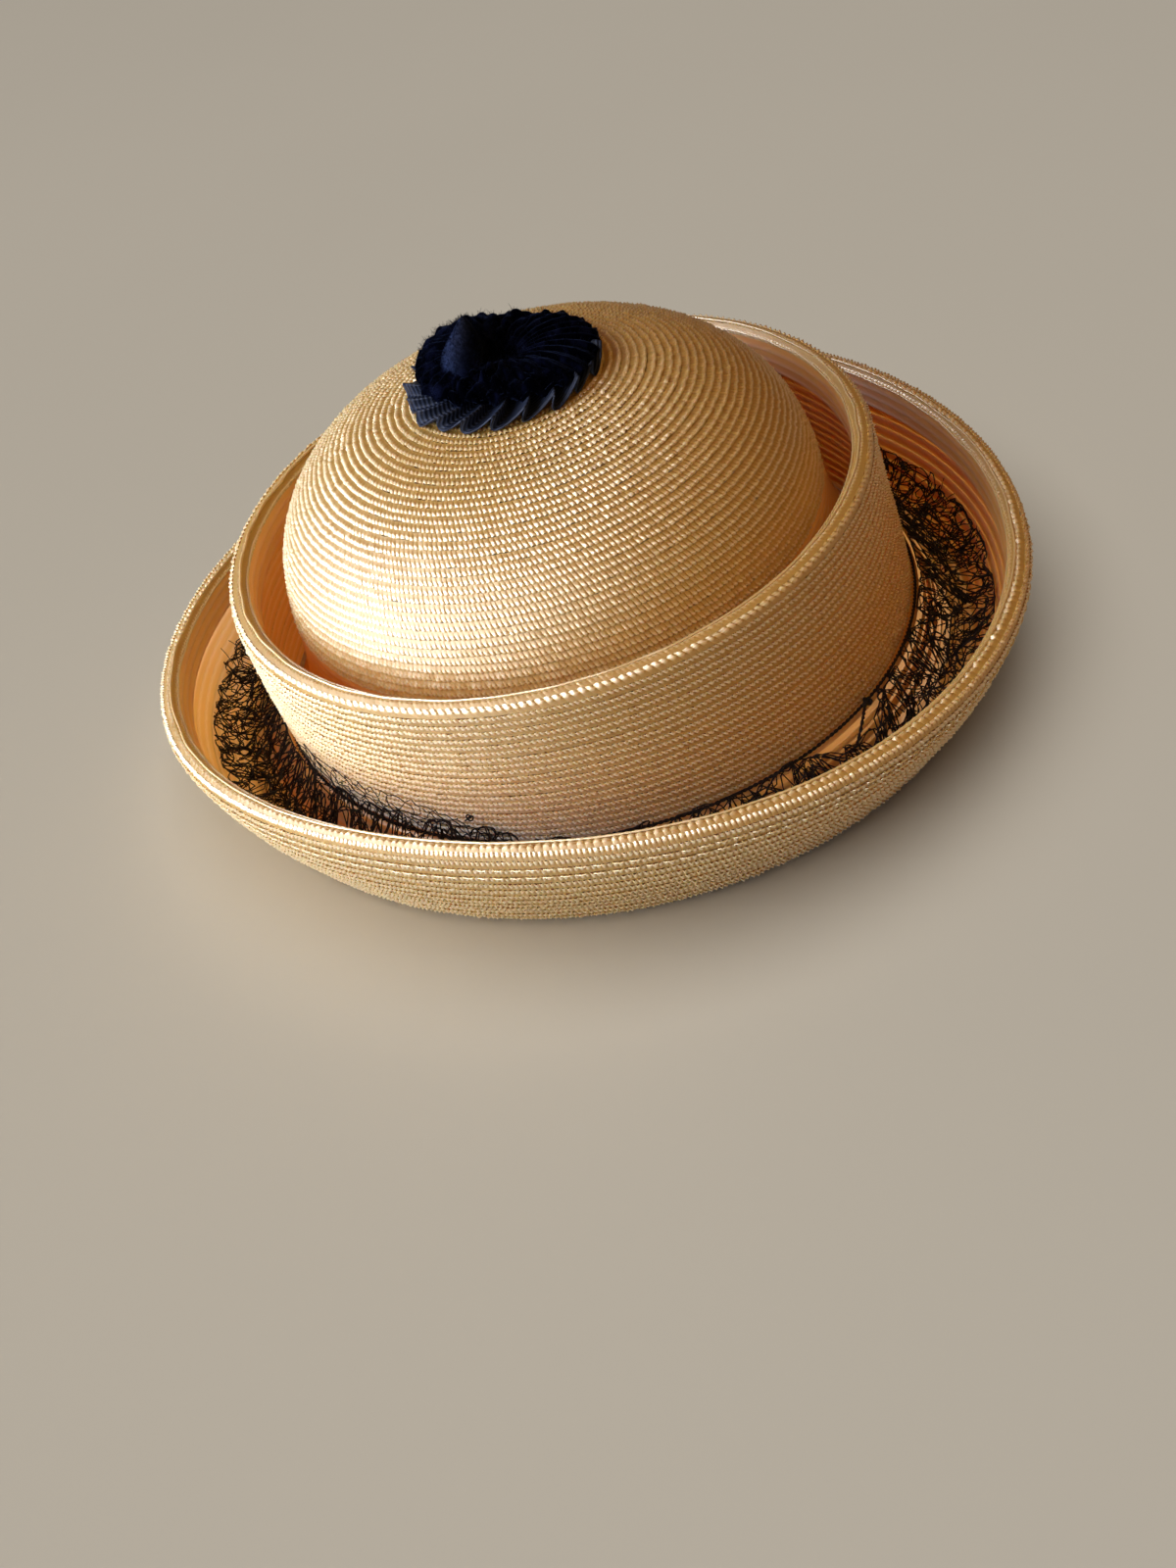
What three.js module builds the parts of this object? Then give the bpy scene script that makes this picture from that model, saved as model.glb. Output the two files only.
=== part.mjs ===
// Breton hat of sewn straw braid, in millimetres, +Z up.
// The front of the hat faces -Y, and the origin is the middle of the brim's foot, on the table.
import * as THREE from 'three';

// Straw walls
const AROUND = 56;              // facets round the hat
const STRAW = 2.0;              // wall of sewn braid
const SEAT_GAP = 0.3;           // clearance between neighbouring pieces
const LEDGE_HEIGHT = 15;        // top of the brim's inner ledge, where crown and cuff stand
const HEAD_RADIUS = 88.4;       // mean radius of the head opening
const HEAD_OVAL = 0.03;         // head opening is longer from front to back
const HEAD_FORWARD = 2.2;       // head opening sits a little forward
const ROLL_RADIUS = 2.1;        // middle of the wall where a top edge rolls over
const ROLL_STEPS = 4;           // facets in a rolled edge

// Cuff and brim edges, measured to the top of the roll
const CUFF_EDGE_RADIUS = 93;
const CUFF_EDGE_HEIGHT = 66;
const CUFF_HEM = { depth: 9, lean: 0.3 };
const BRIM_EDGE_RADIUS = 125.5;
const BRIM_EDGE_HEIGHT = 36.6;
const BRIM_EDGE_OVAL = 0.057;
const BRIM_EDGE_RISE = -5.1;    // the sides turn up higher than front and back
const BRIM_HEM = { depth: 7.5, lean: 1.2 };
const BRIM_FOOT_OVAL = 0.05;

// Net veil and its cord
const NET_REPEATS = 30;         // openings round the net, in two rows
const NET_WALL = 1.0;
const NET_BAR_SHARE = 0.3;      // share of a repeat that is net and not opening
const NET_GATHER = 0.9;         // height of the gathers
const CORD_RADIUS = 0.6;
const CORD_AROUND = 48;
const CORD_SIDES = 4;

// Rosette
const PLEATS = 20;
const CLOTH = 1.6;
const RIBBON_INNER = 9;
const RIBBON_OUTER = 28;
const RIBBON_RISE = 2.8;        // height of a pleat at the ribbon's edge
const RIBBON_SEWN_SHARE = 0.2;  // share of that height where the ribbon is sewn down
const VELVET_FOLDS = 16;

// Raised fold: the corners of its base and its point, seen from above
const FOLD_LEFT = new THREE.Vector2(-11.5, 13.5);
const FOLD_RIGHT = new THREE.Vector2(-17, -1.5);
const FOLD_APEX = new THREE.Vector2(5.5, 8);
const FOLD_LIFT = 8.6;          // foot of the raised fold over the crown's top
const FOLD_HIGH = 7.4;          // height it rises to at its point, before its end is rounded
const FOLD_LOW_SHARE = 0.25;    // height at its base, as a share of that
const FOLD_TIP = 1.8;           // half its width at its point
const FOLD_STEPS = 10;          // sections from its base to its point
const FOLD_END = 0.1;           // height of its two end vertices, as a share of its own

const FINISHES = {
  straw: { color: 0xd3a868, roughness: 0.45, metalness: 0 },
  net: { color: 0x191a24, roughness: 0.8, metalness: 0 },
  ribbon: { color: 0x20283f, roughness: 0.6, metalness: 0 },
  velvet: { color: 0x11152a, roughness: 0.9, metalness: 0 },
};

// A section is one ring of a piece: its mean radius and height, its oval (longer from front
// to back), the rise of its front and back, and its shift to the front.
function section(radius, height, oval = 0, rise = 0, forward = 0) {
  return { radius, height, oval, rise, forward };
}

const CROWN_SECTIONS = [
  section(14, 102.9),
  section(27, 101.2),
  section(45, 97.0),
  section(60, 89.5),
  section(70, 80.5),
  section(77, 69),
  section(80, 58),
  section(81.5, 46),
  section(84, 33, 0.008, 0, 0.6),
  section(HEAD_RADIUS + STRAW, LEDGE_HEIGHT + SEAT_GAP, HEAD_OVAL, 0, HEAD_FORWARD),
];
const CROWN_TOP = 103.5;

const CUFF_WALL = [
  section(95.3, LEDGE_HEIGHT + SEAT_GAP, HEAD_OVAL, 0, HEAD_FORWARD),
  section(95.8, 30, 0.02, 0, 1.5),
  section(95.6, 46, 0.008, 0, 0.5),
];

const BRIM_WALL = [
  section(HEAD_RADIUS + SEAT_GAP, LEDGE_HEIGHT - STRAW / 2, HEAD_OVAL, 0, HEAD_FORWARD),
  section(97.6, LEDGE_HEIGHT - STRAW / 2, HEAD_OVAL, 0, HEAD_FORWARD),
  section(106.5, STRAW / 2, BRIM_FOOT_OVAL, 0, 0),
  section(112.2, STRAW / 2, BRIM_FOOT_OVAL, 0, 0),
  section(118.4, 9.6, 0.051, -0.8, 0),
  section(123.4, 18.6, 0.053, -2.2, 0),
  section(126.4, 27.6, 0.055, -3.8, 0),
];

const NET_SECTIONS = [
  section(99.2, 17.2, HEAD_OVAL, 0, HEAD_FORWARD),
  section(102.2, 15.6, 0.032, 0, 1.8),
  section(107.0, 13.4, 0.038, 0, 1.0),
  section(110.0, 12.8, 0.042, 0, 0.6),
  section(115.4, 13.6, 0.048, -0.8, 0.2),
  section(119.0, 15.8, 0.051, -1.6, 0),
];

// Point of a section at an angle, where angle 0 is the front.
function pointOn(ring, angle) {
  const radius = ring.radius * (1 + ring.oval * Math.cos(2 * angle));
  const height = ring.height + ring.rise * Math.cos(2 * angle);
  return [radius * Math.sin(angle), -radius * Math.cos(angle) - ring.forward, height];
}

// Section beside a path at one of its rows, a distance to its right, mitred at the bend.
function besidePath(path, row, distance) {
  const before = path[Math.max(row - 1, 0)];
  const here = path[row];
  const after = path[Math.min(row + 1, path.length - 1)];
  const arrive = new THREE.Vector2(here.radius - before.radius, here.height - before.height);
  const leave = new THREE.Vector2(after.radius - here.radius, after.height - here.height);
  if (row === 0) arrive.copy(leave);
  if (row === path.length - 1) leave.copy(arrive);
  const bisector = arrive.normalize().clone().add(leave.normalize()).normalize();
  const reach = distance / bisector.dot(arrive);
  return { ...here, radius: here.radius + bisector.y * reach, height: here.height - bisector.x * reach };
}

// Closed outline of a wall: out along the path on its right, back on its left.
function wallOutline(path, thickness) {
  const right = path.map((_, row) => besidePath(path, row, thickness / 2));
  const left = path.map((_, row) => besidePath(path, row, -thickness / 2));
  return right.concat(left.reverse());
}

// Rows that carry a wall over a rolled top edge, inwards, and down a hem.
function rolledEdge(edge, hem) {
  const centre = edge.height - STRAW / 2 - ROLL_RADIUS;
  const rows = [];
  for (let step = 0; step <= ROLL_STEPS; step += 1) {
    const turn = Math.PI * step / ROLL_STEPS;
    const radius = edge.radius + ROLL_RADIUS * Math.cos(turn);
    rows.push({ ...edge, radius, height: centre + ROLL_RADIUS * Math.sin(turn) });
  }
  rows.push({ ...edge, radius: edge.radius - ROLL_RADIUS - hem.lean, height: centre - hem.depth });
  return rows;
}

function solid(positions, triangles) {
  const geometry = new THREE.BufferGeometry();
  geometry.setAttribute('position', new THREE.Float32BufferAttribute(positions.flat(), 3));
  geometry.setIndex(triangles.flat());
  geometry.computeVertexNormals();
  return geometry;
}

function quad(a, b, c, d) {
  return [a, b, c, a, c, d];
}

// Ring swept from a closed outline that runs anticlockwise in radius and height.
function sweptRing(outline, steps, pointAt = pointOn) {
  const count = outline.length;
  const positions = [];
  const triangles = [];
  for (let step = 0; step < steps; step += 1) {
    const angle = 2 * Math.PI * step / steps;
    const next = (step + 1) % steps;
    for (let row = 0; row < count; row += 1) {
      const up = (row + 1) % count;
      positions.push(pointAt(outline[row], angle));
      triangles.push(quad(step * count + row, next * count + row, next * count + up, step * count + up));
    }
  }
  return solid(positions, triangles);
}

// Crown: outer sections from the top down, then the same wall inside, closed at both poles.
function crownGeometry() {
  const path = [section(0, CROWN_TOP)].concat(CROWN_SECTIONS);
  const inner = path.map((_, row) => besidePath(path, row, STRAW)).slice(1);
  inner[inner.length - 1].height = path[path.length - 1].height;
  const rings = CROWN_SECTIONS.concat(inner.reverse());
  const positions = [];
  const triangles = [];
  for (let step = 0; step < AROUND; step += 1) {
    const angle = 2 * Math.PI * step / AROUND;
    for (const ring of rings) positions.push(pointOn(ring, angle));
  }
  const count = rings.length;
  const outerPole = positions.push([0, 0, CROWN_TOP]) - 1;
  const innerPole = positions.push([0, 0, CROWN_TOP - STRAW]) - 1;
  for (let step = 0; step < AROUND; step += 1) {
    const here = step * count;
    const next = ((step + 1) % AROUND) * count;
    triangles.push([outerPole, here, next], [innerPole, next + count - 1, here + count - 1]);
    for (let row = 0; row < count - 1; row += 1) {
      triangles.push(quad(here + row, here + row + 1, next + row + 1, next + row));
    }
  }
  return solid(positions, triangles);
}

function cuffGeometry() {
  const edge = section(CUFF_EDGE_RADIUS, CUFF_EDGE_HEIGHT);
  const path = CUFF_WALL.concat(rolledEdge(edge, CUFF_HEM));
  return sweptRing(wallOutline(path, STRAW), AROUND);
}

function brimGeometry() {
  const edge = section(BRIM_EDGE_RADIUS, BRIM_EDGE_HEIGHT, BRIM_EDGE_OVAL, BRIM_EDGE_RISE);
  const path = BRIM_WALL.concat(rolledEdge(edge, BRIM_HEM));
  return sweptRing(wallOutline(path, STRAW), AROUND);
}

// Net: a sheet across the trough in strips of bar and opening, cut through at each opening.
function netGeometry() {
  const over = NET_SECTIONS.map((_, row) => besidePath(NET_SECTIONS, row, -NET_WALL / 2));
  const under = NET_SECTIONS.map((_, row) => besidePath(NET_SECTIONS, row, NET_WALL / 2));
  const rows = NET_SECTIONS.length;
  const columns = 2 * NET_REPEATS;
  const positions = [];
  const triangles = [];
  const isNet = (column, row) => row >= 0 && row < rows - 1 && !(column % 2 && row % 2);
  const vertex = (column, row, face) => ((column % columns) * rows + row) * 2 + face;
  for (let column = 0; column < columns; column += 1) {
    const share = column % 2 ? NET_BAR_SHARE : 0;
    const angle = 2 * Math.PI * (Math.floor(column / 2) + share) / NET_REPEATS;
    const gather = NET_GATHER * Math.cos(angle * NET_REPEATS / 2);
    for (let row = 0; row < rows; row += 1) {
      const lift = gather * Math.sin(Math.PI * row / (rows - 1));
      for (const face of [under, over]) {
        const [x, y, z] = pointOn(face[row], angle);
        positions.push([x, y, z + lift]);
      }
    }
  }
  for (let column = 0; column < columns; column += 1) {
    const beside = (column + columns - 1) % columns;
    for (let row = 0; row < rows - 1; row += 1) {
      if (!isNet(column, row)) continue;
      const corner = (dc, dr, face) => vertex(column + dc, row + dr, face);
      triangles.push(quad(corner(0, 0, 0), corner(1, 0, 0), corner(1, 1, 0), corner(0, 1, 0)));
      triangles.push(quad(corner(0, 1, 1), corner(1, 1, 1), corner(1, 0, 1), corner(0, 0, 1)));
      if (!isNet(column, row - 1)) {
        triangles.push(quad(corner(0, 0, 1), corner(1, 0, 1), corner(1, 0, 0), corner(0, 0, 0)));
      }
      if (!isNet(column, row + 1)) {
        triangles.push(quad(corner(0, 1, 0), corner(1, 1, 0), corner(1, 1, 1), corner(0, 1, 1)));
      }
      if (!isNet(beside, row)) {
        triangles.push(quad(corner(0, 0, 0), corner(0, 1, 0), corner(0, 1, 1), corner(0, 0, 1)));
      }
      if (!isNet(column + 1, row)) {
        triangles.push(quad(corner(1, 1, 0), corner(1, 0, 0), corner(1, 0, 1), corner(1, 1, 1)));
      }
    }
  }
  return solid(positions, triangles);
}

function cordGeometry() {
  const foot = CUFF_WALL[0];
  const radius = foot.radius + STRAW / 2 + SEAT_GAP + CORD_RADIUS;
  const height = LEDGE_HEIGHT + SEAT_GAP + CORD_RADIUS;
  const outline = [];
  for (let side = 0; side < CORD_SIDES; side += 1) {
    const turn = 2 * Math.PI * side / CORD_SIDES;
    const rise = height + CORD_RADIUS * Math.sin(turn);
    outline.push({ ...foot, radius: radius + CORD_RADIUS * Math.cos(turn), height: rise });
  }
  return sweptRing(outline, CORD_AROUND);
}

// Height of the crown's outer face at a distance from its axis.
function crownHeight(distance) {
  const rows = [section(0, CROWN_TOP)].concat(CROWN_SECTIONS);
  const above = rows.findIndex((row) => row.radius >= distance);
  const inner = rows[above - 1] ?? rows[0];
  const outer = rows[above];
  const share = (distance - inner.radius) / Math.max(outer.radius - inner.radius, 1e-9);
  return inner.height + (outer.height - inner.height) * share;
}

// Ring of cloth: a sheet whose middle is given as a lift over the crown and a reach, by row and column.
function clothRing(columns, rows, reachAt, liftAt) {
  const positions = [];
  const triangles = [];
  const vertex = (column, row, face) => ((column % columns) * rows + row) * 2 + face;
  for (let column = 0; column < columns; column += 1) {
    const angle = 2 * Math.PI * column / columns;
    for (let row = 0; row < rows; row += 1) {
      const reach = reachAt(column, row);
      const middle = crownHeight(reach) + liftAt(column, row, reach);
      for (const side of [0.5, -0.5]) {
        positions.push([reach * Math.sin(angle), -reach * Math.cos(angle), middle + side * CLOTH]);
      }
    }
  }
  for (let column = 0; column < columns; column += 1) {
    const v = (dc, row, face) => vertex(column + dc, row, face);
    for (let row = 0; row < rows - 1; row += 1) {
      triangles.push(quad(v(0, row, 0), v(0, row + 1, 0), v(1, row + 1, 0), v(1, row, 0)));
      triangles.push(quad(v(0, row, 1), v(1, row, 1), v(1, row + 1, 1), v(0, row + 1, 1)));
    }
    const last = rows - 1;
    triangles.push(quad(v(0, 0, 0), v(1, 0, 0), v(1, 0, 1), v(0, 0, 1)));
    triangles.push(quad(v(0, last, 0), v(0, last, 1), v(1, last, 1), v(1, last, 0)));
  }
  return solid(positions, triangles);
}

// Knife pleats: each rises over two columns and drops in the third.
const PLEAT_STEPS = [
  { rise: 0, reach: 0.92 },
  { rise: 0.55, reach: 0.98 },
  { rise: 1, reach: 1 },
];

function ribbonGeometry() {
  const steps = PLEAT_STEPS.length;
  const spread = RIBBON_OUTER - RIBBON_INNER;
  const reachAt = (column, row) => (row ? RIBBON_OUTER * PLEAT_STEPS[column % steps].reach : RIBBON_INNER);
  const liftAt = (column, row, reach) => {
    const share = (reach - RIBBON_INNER) / spread;
    const swell = RIBBON_RISE * (RIBBON_SEWN_SHARE + (1 - RIBBON_SEWN_SHARE) * share);
    return SEAT_GAP + CLOTH / 2 + swell * PLEAT_STEPS[column % steps].rise;
  };
  return clothRing(PLEATS * steps, 2, reachAt, liftAt);
}

// Velvet ruffle: reach and lift of each row, and how far its folds stand.
const VELVET_ROWS = [
  { reach: 3.5, lift: 1.3, folds: 0 },
  { reach: 8, lift: 6.2, folds: 0.5 },
  { reach: 17, lift: 7.4, folds: 1.0 },
  { reach: 24, lift: 6.5, folds: 1.0 },
];

function velvetGeometry() {
  const columns = 2 * VELVET_FOLDS;
  const reachAt = (column, row) => VELVET_ROWS[row].reach;
  const liftAt = (column, row) => VELVET_ROWS[row].lift + VELVET_ROWS[row].folds * (column % 2 ? -1 : 1);
  return clothRing(columns, VELVET_ROWS.length, reachAt, liftAt);
}

// Outline of the raised fold, from right to left across it and up it, round by its ridge.
const FOLD_OUTLINE = [
  { across: -1, up: 0 },
  { across: 1, up: 0 },
  { across: 1, up: 0.5 },
  { across: 0.86, up: 0.9 },
  { across: 0.62, up: 1 },
  { across: 0.3, up: 0.9 },
  { across: -0.2, up: 0.66 },
  { across: -0.7, up: 0.42 },
];

// Raised fold: the outline carried from its base to its point, narrowing and rising, round at both ends.
function foldGeometry() {
  const count = FOLD_OUTLINE.length;
  const base = FOLD_LEFT.clone().add(FOLD_RIGHT).multiplyScalar(0.5);
  const half = FOLD_LEFT.distanceTo(FOLD_RIGHT) / 2;
  const aside = FOLD_LEFT.clone().sub(FOLD_RIGHT).normalize();
  const positions = [];
  const triangles = [];
  for (let step = 1; step < FOLD_STEPS; step += 1) {
    const place = step / FOLD_STEPS;
    const swell = Math.sqrt(1 - Math.abs(2 * place - 1) ** 6);
    const wide = swell * (FOLD_TIP + (half - FOLD_TIP) * (1 - place) ** 0.8);
    const high = swell * FOLD_HIGH * (FOLD_LOW_SHARE + (1 - FOLD_LOW_SHARE) * place ** 0.8);
    const middle = base.clone().lerp(FOLD_APEX, place);
    for (const { across, up } of FOLD_OUTLINE) {
      positions.push([middle.x + aside.x * wide * across, middle.y + aside.y * wide * across, high * up]);
    }
  }
  const start = positions.push([base.x, base.y, FOLD_END * FOLD_HIGH]) - 1;
  const end = positions.push([FOLD_APEX.x, FOLD_APEX.y, FOLD_END * FOLD_HIGH]) - 1;
  const last = (FOLD_STEPS - 2) * count;
  for (let row = 0; row < count; row += 1) {
    const next = (row + 1) % count;
    triangles.push([start, next, row], [end, last + row, last + next]);
    for (let step = 0; step < FOLD_STEPS - 2; step += 1) {
      const here = step * count;
      const beyond = here + count;
      triangles.push(quad(here + row, here + next, beyond + next, beyond + row));
    }
  }
  return solid(positions, triangles);
}

function piece(name, geometry, finish) {
  const mesh = new THREE.Mesh(geometry, new THREE.MeshStandardMaterial(finish));
  mesh.name = name;
  return mesh;
}

const hat = new THREE.Group();
hat.add(piece('crown', crownGeometry(), FINISHES.straw));
hat.add(piece('cuff', cuffGeometry(), FINISHES.straw));
hat.add(piece('brim', brimGeometry(), FINISHES.straw));
hat.add(piece('veil', netGeometry(), FINISHES.net));
hat.add(piece('veil_cord', cordGeometry(), FINISHES.net));
hat.add(piece('rosette_ribbon', ribbonGeometry(), FINISHES.ribbon));
hat.add(piece('rosette_velvet', velvetGeometry(), FINISHES.velvet));

const fold = piece('rosette_fold', foldGeometry(), FINISHES.velvet);
fold.position.set(0, 0, CROWN_TOP + FOLD_LIFT);
hat.add(fold);

export default hat;
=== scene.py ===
"""Straw breton hat with a net veil and a rosette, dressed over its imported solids.

The hat stands on its brim with its front to -Y. Lengths in the tables are millimetres, and
the meshes are metres.
"""
import math

import bpy
import numpy as np
from bpy.props import FloatProperty, FloatVectorProperty, IntProperty, PointerProperty
from mathutils import Matrix, Vector


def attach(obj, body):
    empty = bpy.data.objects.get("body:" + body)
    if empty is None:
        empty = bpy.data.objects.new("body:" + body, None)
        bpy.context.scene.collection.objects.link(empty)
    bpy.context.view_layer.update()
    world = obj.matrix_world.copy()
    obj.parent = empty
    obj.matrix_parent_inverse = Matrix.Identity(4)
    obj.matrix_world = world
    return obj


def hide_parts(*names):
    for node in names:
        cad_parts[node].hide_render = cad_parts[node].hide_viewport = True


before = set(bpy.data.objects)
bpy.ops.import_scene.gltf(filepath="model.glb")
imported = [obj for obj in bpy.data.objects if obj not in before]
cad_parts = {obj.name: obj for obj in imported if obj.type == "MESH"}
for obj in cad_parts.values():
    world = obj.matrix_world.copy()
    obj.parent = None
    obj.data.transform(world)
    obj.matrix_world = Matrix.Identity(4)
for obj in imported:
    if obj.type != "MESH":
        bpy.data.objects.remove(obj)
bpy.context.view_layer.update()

bl_info = {
    "name": "Breton Hat",
    "version": (1, 0, 0),
    "blender": (4, 5, 0),
    "location": "View3D > Sidebar > Hat",
    "description": "Makes a straw breton hat with a net veil and a rosette",
    "category": "Add Mesh",
}

BODY = "root"
MM = 0.001

# Straw walls, as sections: mean radius, height, oval, rise of front and back, shift to the front
STRAW_WALL = 2.0
HEAD_OVAL = 0.03
HEAD_FORWARD = 2.2
LEDGE = 15.0
CROWN_TOP = 103.5
CROWN_FACE = (
    (0.0, CROWN_TOP, 0, 0, 0),
    (14.0, 102.9, 0, 0, 0),
    (27.0, 101.2, 0, 0, 0),
    (45.0, 97.0, 0, 0, 0),
    (60.0, 89.5, 0, 0, 0),
    (70.0, 80.5, 0, 0, 0),
    (77.0, 69.0, 0, 0, 0),
    (80.0, 58.0, 0, 0, 0),
    (81.5, 46.0, 0, 0, 0),
    (84.0, 33.0, 0.008, 0, 0.6),
    (90.4, 15.3, HEAD_OVAL, 0, HEAD_FORWARD),
)
CUFF_MIDDLE = (
    (95.3, 15.3, HEAD_OVAL, 0, HEAD_FORWARD),
    (95.8, 30.0, 0.02, 0, 1.5),
    (95.6, 46.0, 0.008, 0, 0.5),
)
BRIM_MIDDLE = (
    (88.7, 14.0, HEAD_OVAL, 0, HEAD_FORWARD),
    (97.6, 14.0, HEAD_OVAL, 0, HEAD_FORWARD),
    (106.5, 1.0, 0.05, 0, 0),
    (112.2, 1.0, 0.05, 0, 0),
    (118.4, 9.6, 0.051, -0.8, 0),
    (123.4, 18.6, 0.053, -2.2, 0),
    (126.4, 27.6, 0.055, -3.8, 0),
)
ROLL_RADIUS = 2.1
ROLL_STEPS = 10
CUFF_ROLL = (93.0, 66.0, 0, 0, 0)
CUFF_HEM = (9.0, 0.3)
BRIM_ROLL = (125.5, 36.6, 0.057, -5.1, 0)
BRIM_HEM = (7.5, 1.2)

# One row of braid: place across it, depth under the face, share of the strands' relief, paleness, low where
# shade is painted
ROW_SECTION = (
    (-0.05, 0.50, 0.0, 0.1),
    (0.42, 0.34, 0.15, 0.2),
    (0.66, 0.06, 1.0, 1.0),
    (0.98, 0.28, 0.75, 0.8),
    (0.50, 1.50, 0.0, 0.2),
)

# Looks of a row: strand pitch and relief against the common ones, paleness of its crests, lower where shade
# is painted
FULL = (1.0, 1.0, 1.0)
LOOPED = (1.5, 1.0, 1.0)
FLAT = (1.0, 0.3, 0.75)
PLAIN = (8.0, 0.0, 0.9)
CUFF_EDGE_LOOKS = (LOOPED, FLAT, FLAT, PLAIN, PLAIN, PLAIN)
BRIM_EDGE_LOOKS = (FULL, LOOPED, FLAT, PLAIN, PLAIN, PLAIN)
EDGE_LINES = (1.95, 2.75)
LINE_RADIUS = 0.38
STITCH_ROWS = (1.0, 2.0)
# Beads of an edge's lines, full and slim, their lift off the straw, steps round and paleness
BEADS = (1.1, 0.75)
LINE_LIFT = 0.12
LINE_STEPS = 640
LINE_PALENESS = 0.95
# Stitch: rise, depth of its ends, share of the pitch, unevenness, radius, steps and tone
STITCH_RISE = 0.3
STITCH_SUNK = 0.05
STITCH_SHARE = 0.8
STITCH_UNEVEN = 0.05
STITCH_RADIUS = 0.2
STITCH_STEPS = 5
STITCH_TONE = 0.1
# Direction that no thread follows, from which the sides of a tube are turned
NEAR_UP = (0.13, 0.07, 1.0)
LINING_DEPTH = 0.5
# Pile: radius of a fibre, its least and most length, spread, lean, depth of its root
PILE_RADIUS = 0.045
PILE_LENGTH = (0.3, 1.0)
PILE_SPREAD = 0.25
PILE_LEAN = 0.4
PILE_ROOT = 0.3

# Seam's thread on a row: foot and rise of its arches and half its width, as shares of the row
STITCH_FOOT = 0.86
STITCH_ARCH = -0.16
STITCH_HALF = 0.07

# Ribs of the ribbon, and a band texture's scale for one wave in a unit
UV_MAP = "weave"
RIB_PITCH = 1.15
WAVE_SCALE = 0.314

# Net, from the cuff's foot across the trough to the brim
NET_SECTIONS = (
    (98.4, 17.6, HEAD_OVAL, 0, HEAD_FORWARD),
    (102.2, 15.6, 0.032, 0, 1.8),
    (107.0, 13.4, 0.038, 0, 1.0),
    (110.0, 12.8, 0.042, 0, 0.6),
    (115.4, 13.6, 0.048, -0.8, 0.2),
    (118.6, 15.8, 0.051, -1.6, 0),
)
TROUGH_FLOOR = ((98.0, 15.6), (107.0, 2.8), (112.0, 2.8), (118.4, 11.0), (121.5, 15.5))


def length_prop(name, text, millimetres):
    """Length property with its default given in millimetres."""
    return FloatProperty(name=name, description=text, default=millimetres * MM, unit="LENGTH", precision=5)


def colour_prop(name, text, value):
    """Linear colour property."""
    return FloatVectorProperty(
        name=name, description=text, default=value, subtype="COLOR", size=3, min=0.0, max=1.0
    )


def angle_prop(name, text, radians):
    """Angle property."""
    return FloatProperty(name=name, description=text, default=radians, subtype="ANGLE")


def power_prop(name, text, watts):
    """Power property of a light."""
    return FloatProperty(name=name, description=text, default=watts, unit="POWER")


class StrawSettings(bpy.types.PropertyGroup):
    """Sizes and colours of the sewn straw braid."""

    row: length_prop("Row", "Width of a sewn row of braid on crown and cuff", 2.35)
    edge_row: length_prop("Edge row", "Width of a sewn row on the brim, at the edges and inside", 3.0)
    strand: length_prop("Strand", "Pitch of the strands along a row", 1.45)
    relief: length_prop("Relief", "Height of a strand over and under the row's face", 0.38)
    slant: length_prop("Slant", "Shift of a strand along the row from edge to edge", 2.0)
    stitch: length_prop("Stitch", "Length of a stitch along a row", 4.5)
    crest: colour_prop("Crest", "Colour on top of a strand", (0.68, 0.475, 0.14))
    # Groove colour: partly the straw's own amber, partly painted shade in the valleys between strands and
    # rows
    groove_shade: colour_prop("Groove", "Colour between strands and rows", (0.53, 0.315, 0.06))
    # Lining: the straw's own colour made brighter and more orange, partly painted glow of light through the
    # straw
    lining_glow: colour_prop("Lining", "Colour of the smooth rows inside the walls", (0.86, 0.43, 0.1))


class VeilSettings(bpy.types.PropertyGroup):
    """Sizes and colour of the net veil and its cord."""

    lines: IntProperty(name="Lines", description="Waving threads across the net", default=26, min=4)
    meshes: IntProperty(name="Meshes", description="Meshes round the net", default=176, min=20)
    thread: length_prop("Thread", "Diameter of the net's thread", 0.42)
    cord: length_prop("Cord", "Diameter of the draw cord", 1.1)
    colour: colour_prop("Colour", "Colour of net and cord", (0.006, 0.0055, 0.009))


class RosetteSettings(bpy.types.PropertyGroup):
    """Sizes and colours of the ribbon pleats and the velvet."""

    pleats: IntProperty(name="Pleats", description="Knife pleats round the ribbon", default=20, min=6)
    pleat_height: length_prop("Pleat height", "Height of a pleat at the ribbon's edge", 4.4)
    ribbon_inner: length_prop("Ribbon inner", "Radius where the ribbon is sewn down", 9.0)
    ribbon_outer: length_prop("Ribbon outer", "Radius of the ribbon's edge", 28.0)
    folds: IntProperty(name="Folds", description="Radial folds in the velvet ruffle", default=32, min=6)
    ribbon: colour_prop("Ribbon", "Colour of the ribbon", (0.0035, 0.0055, 0.016))
    velvet: colour_prop("Velvet", "Colour of the velvet", (0.0003, 0.0004, 0.0016))
    sheen: colour_prop("Sheen", "Colour of the velvet's sheen", (0.03, 0.046, 0.12))
    # Paler blue along the fold's left ridge, where the window light falls: a painted highlight
    nap: colour_prop("Nap", "Colour of the velvet where its pile is brushed up", (0.04, 0.068, 0.2))


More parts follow.
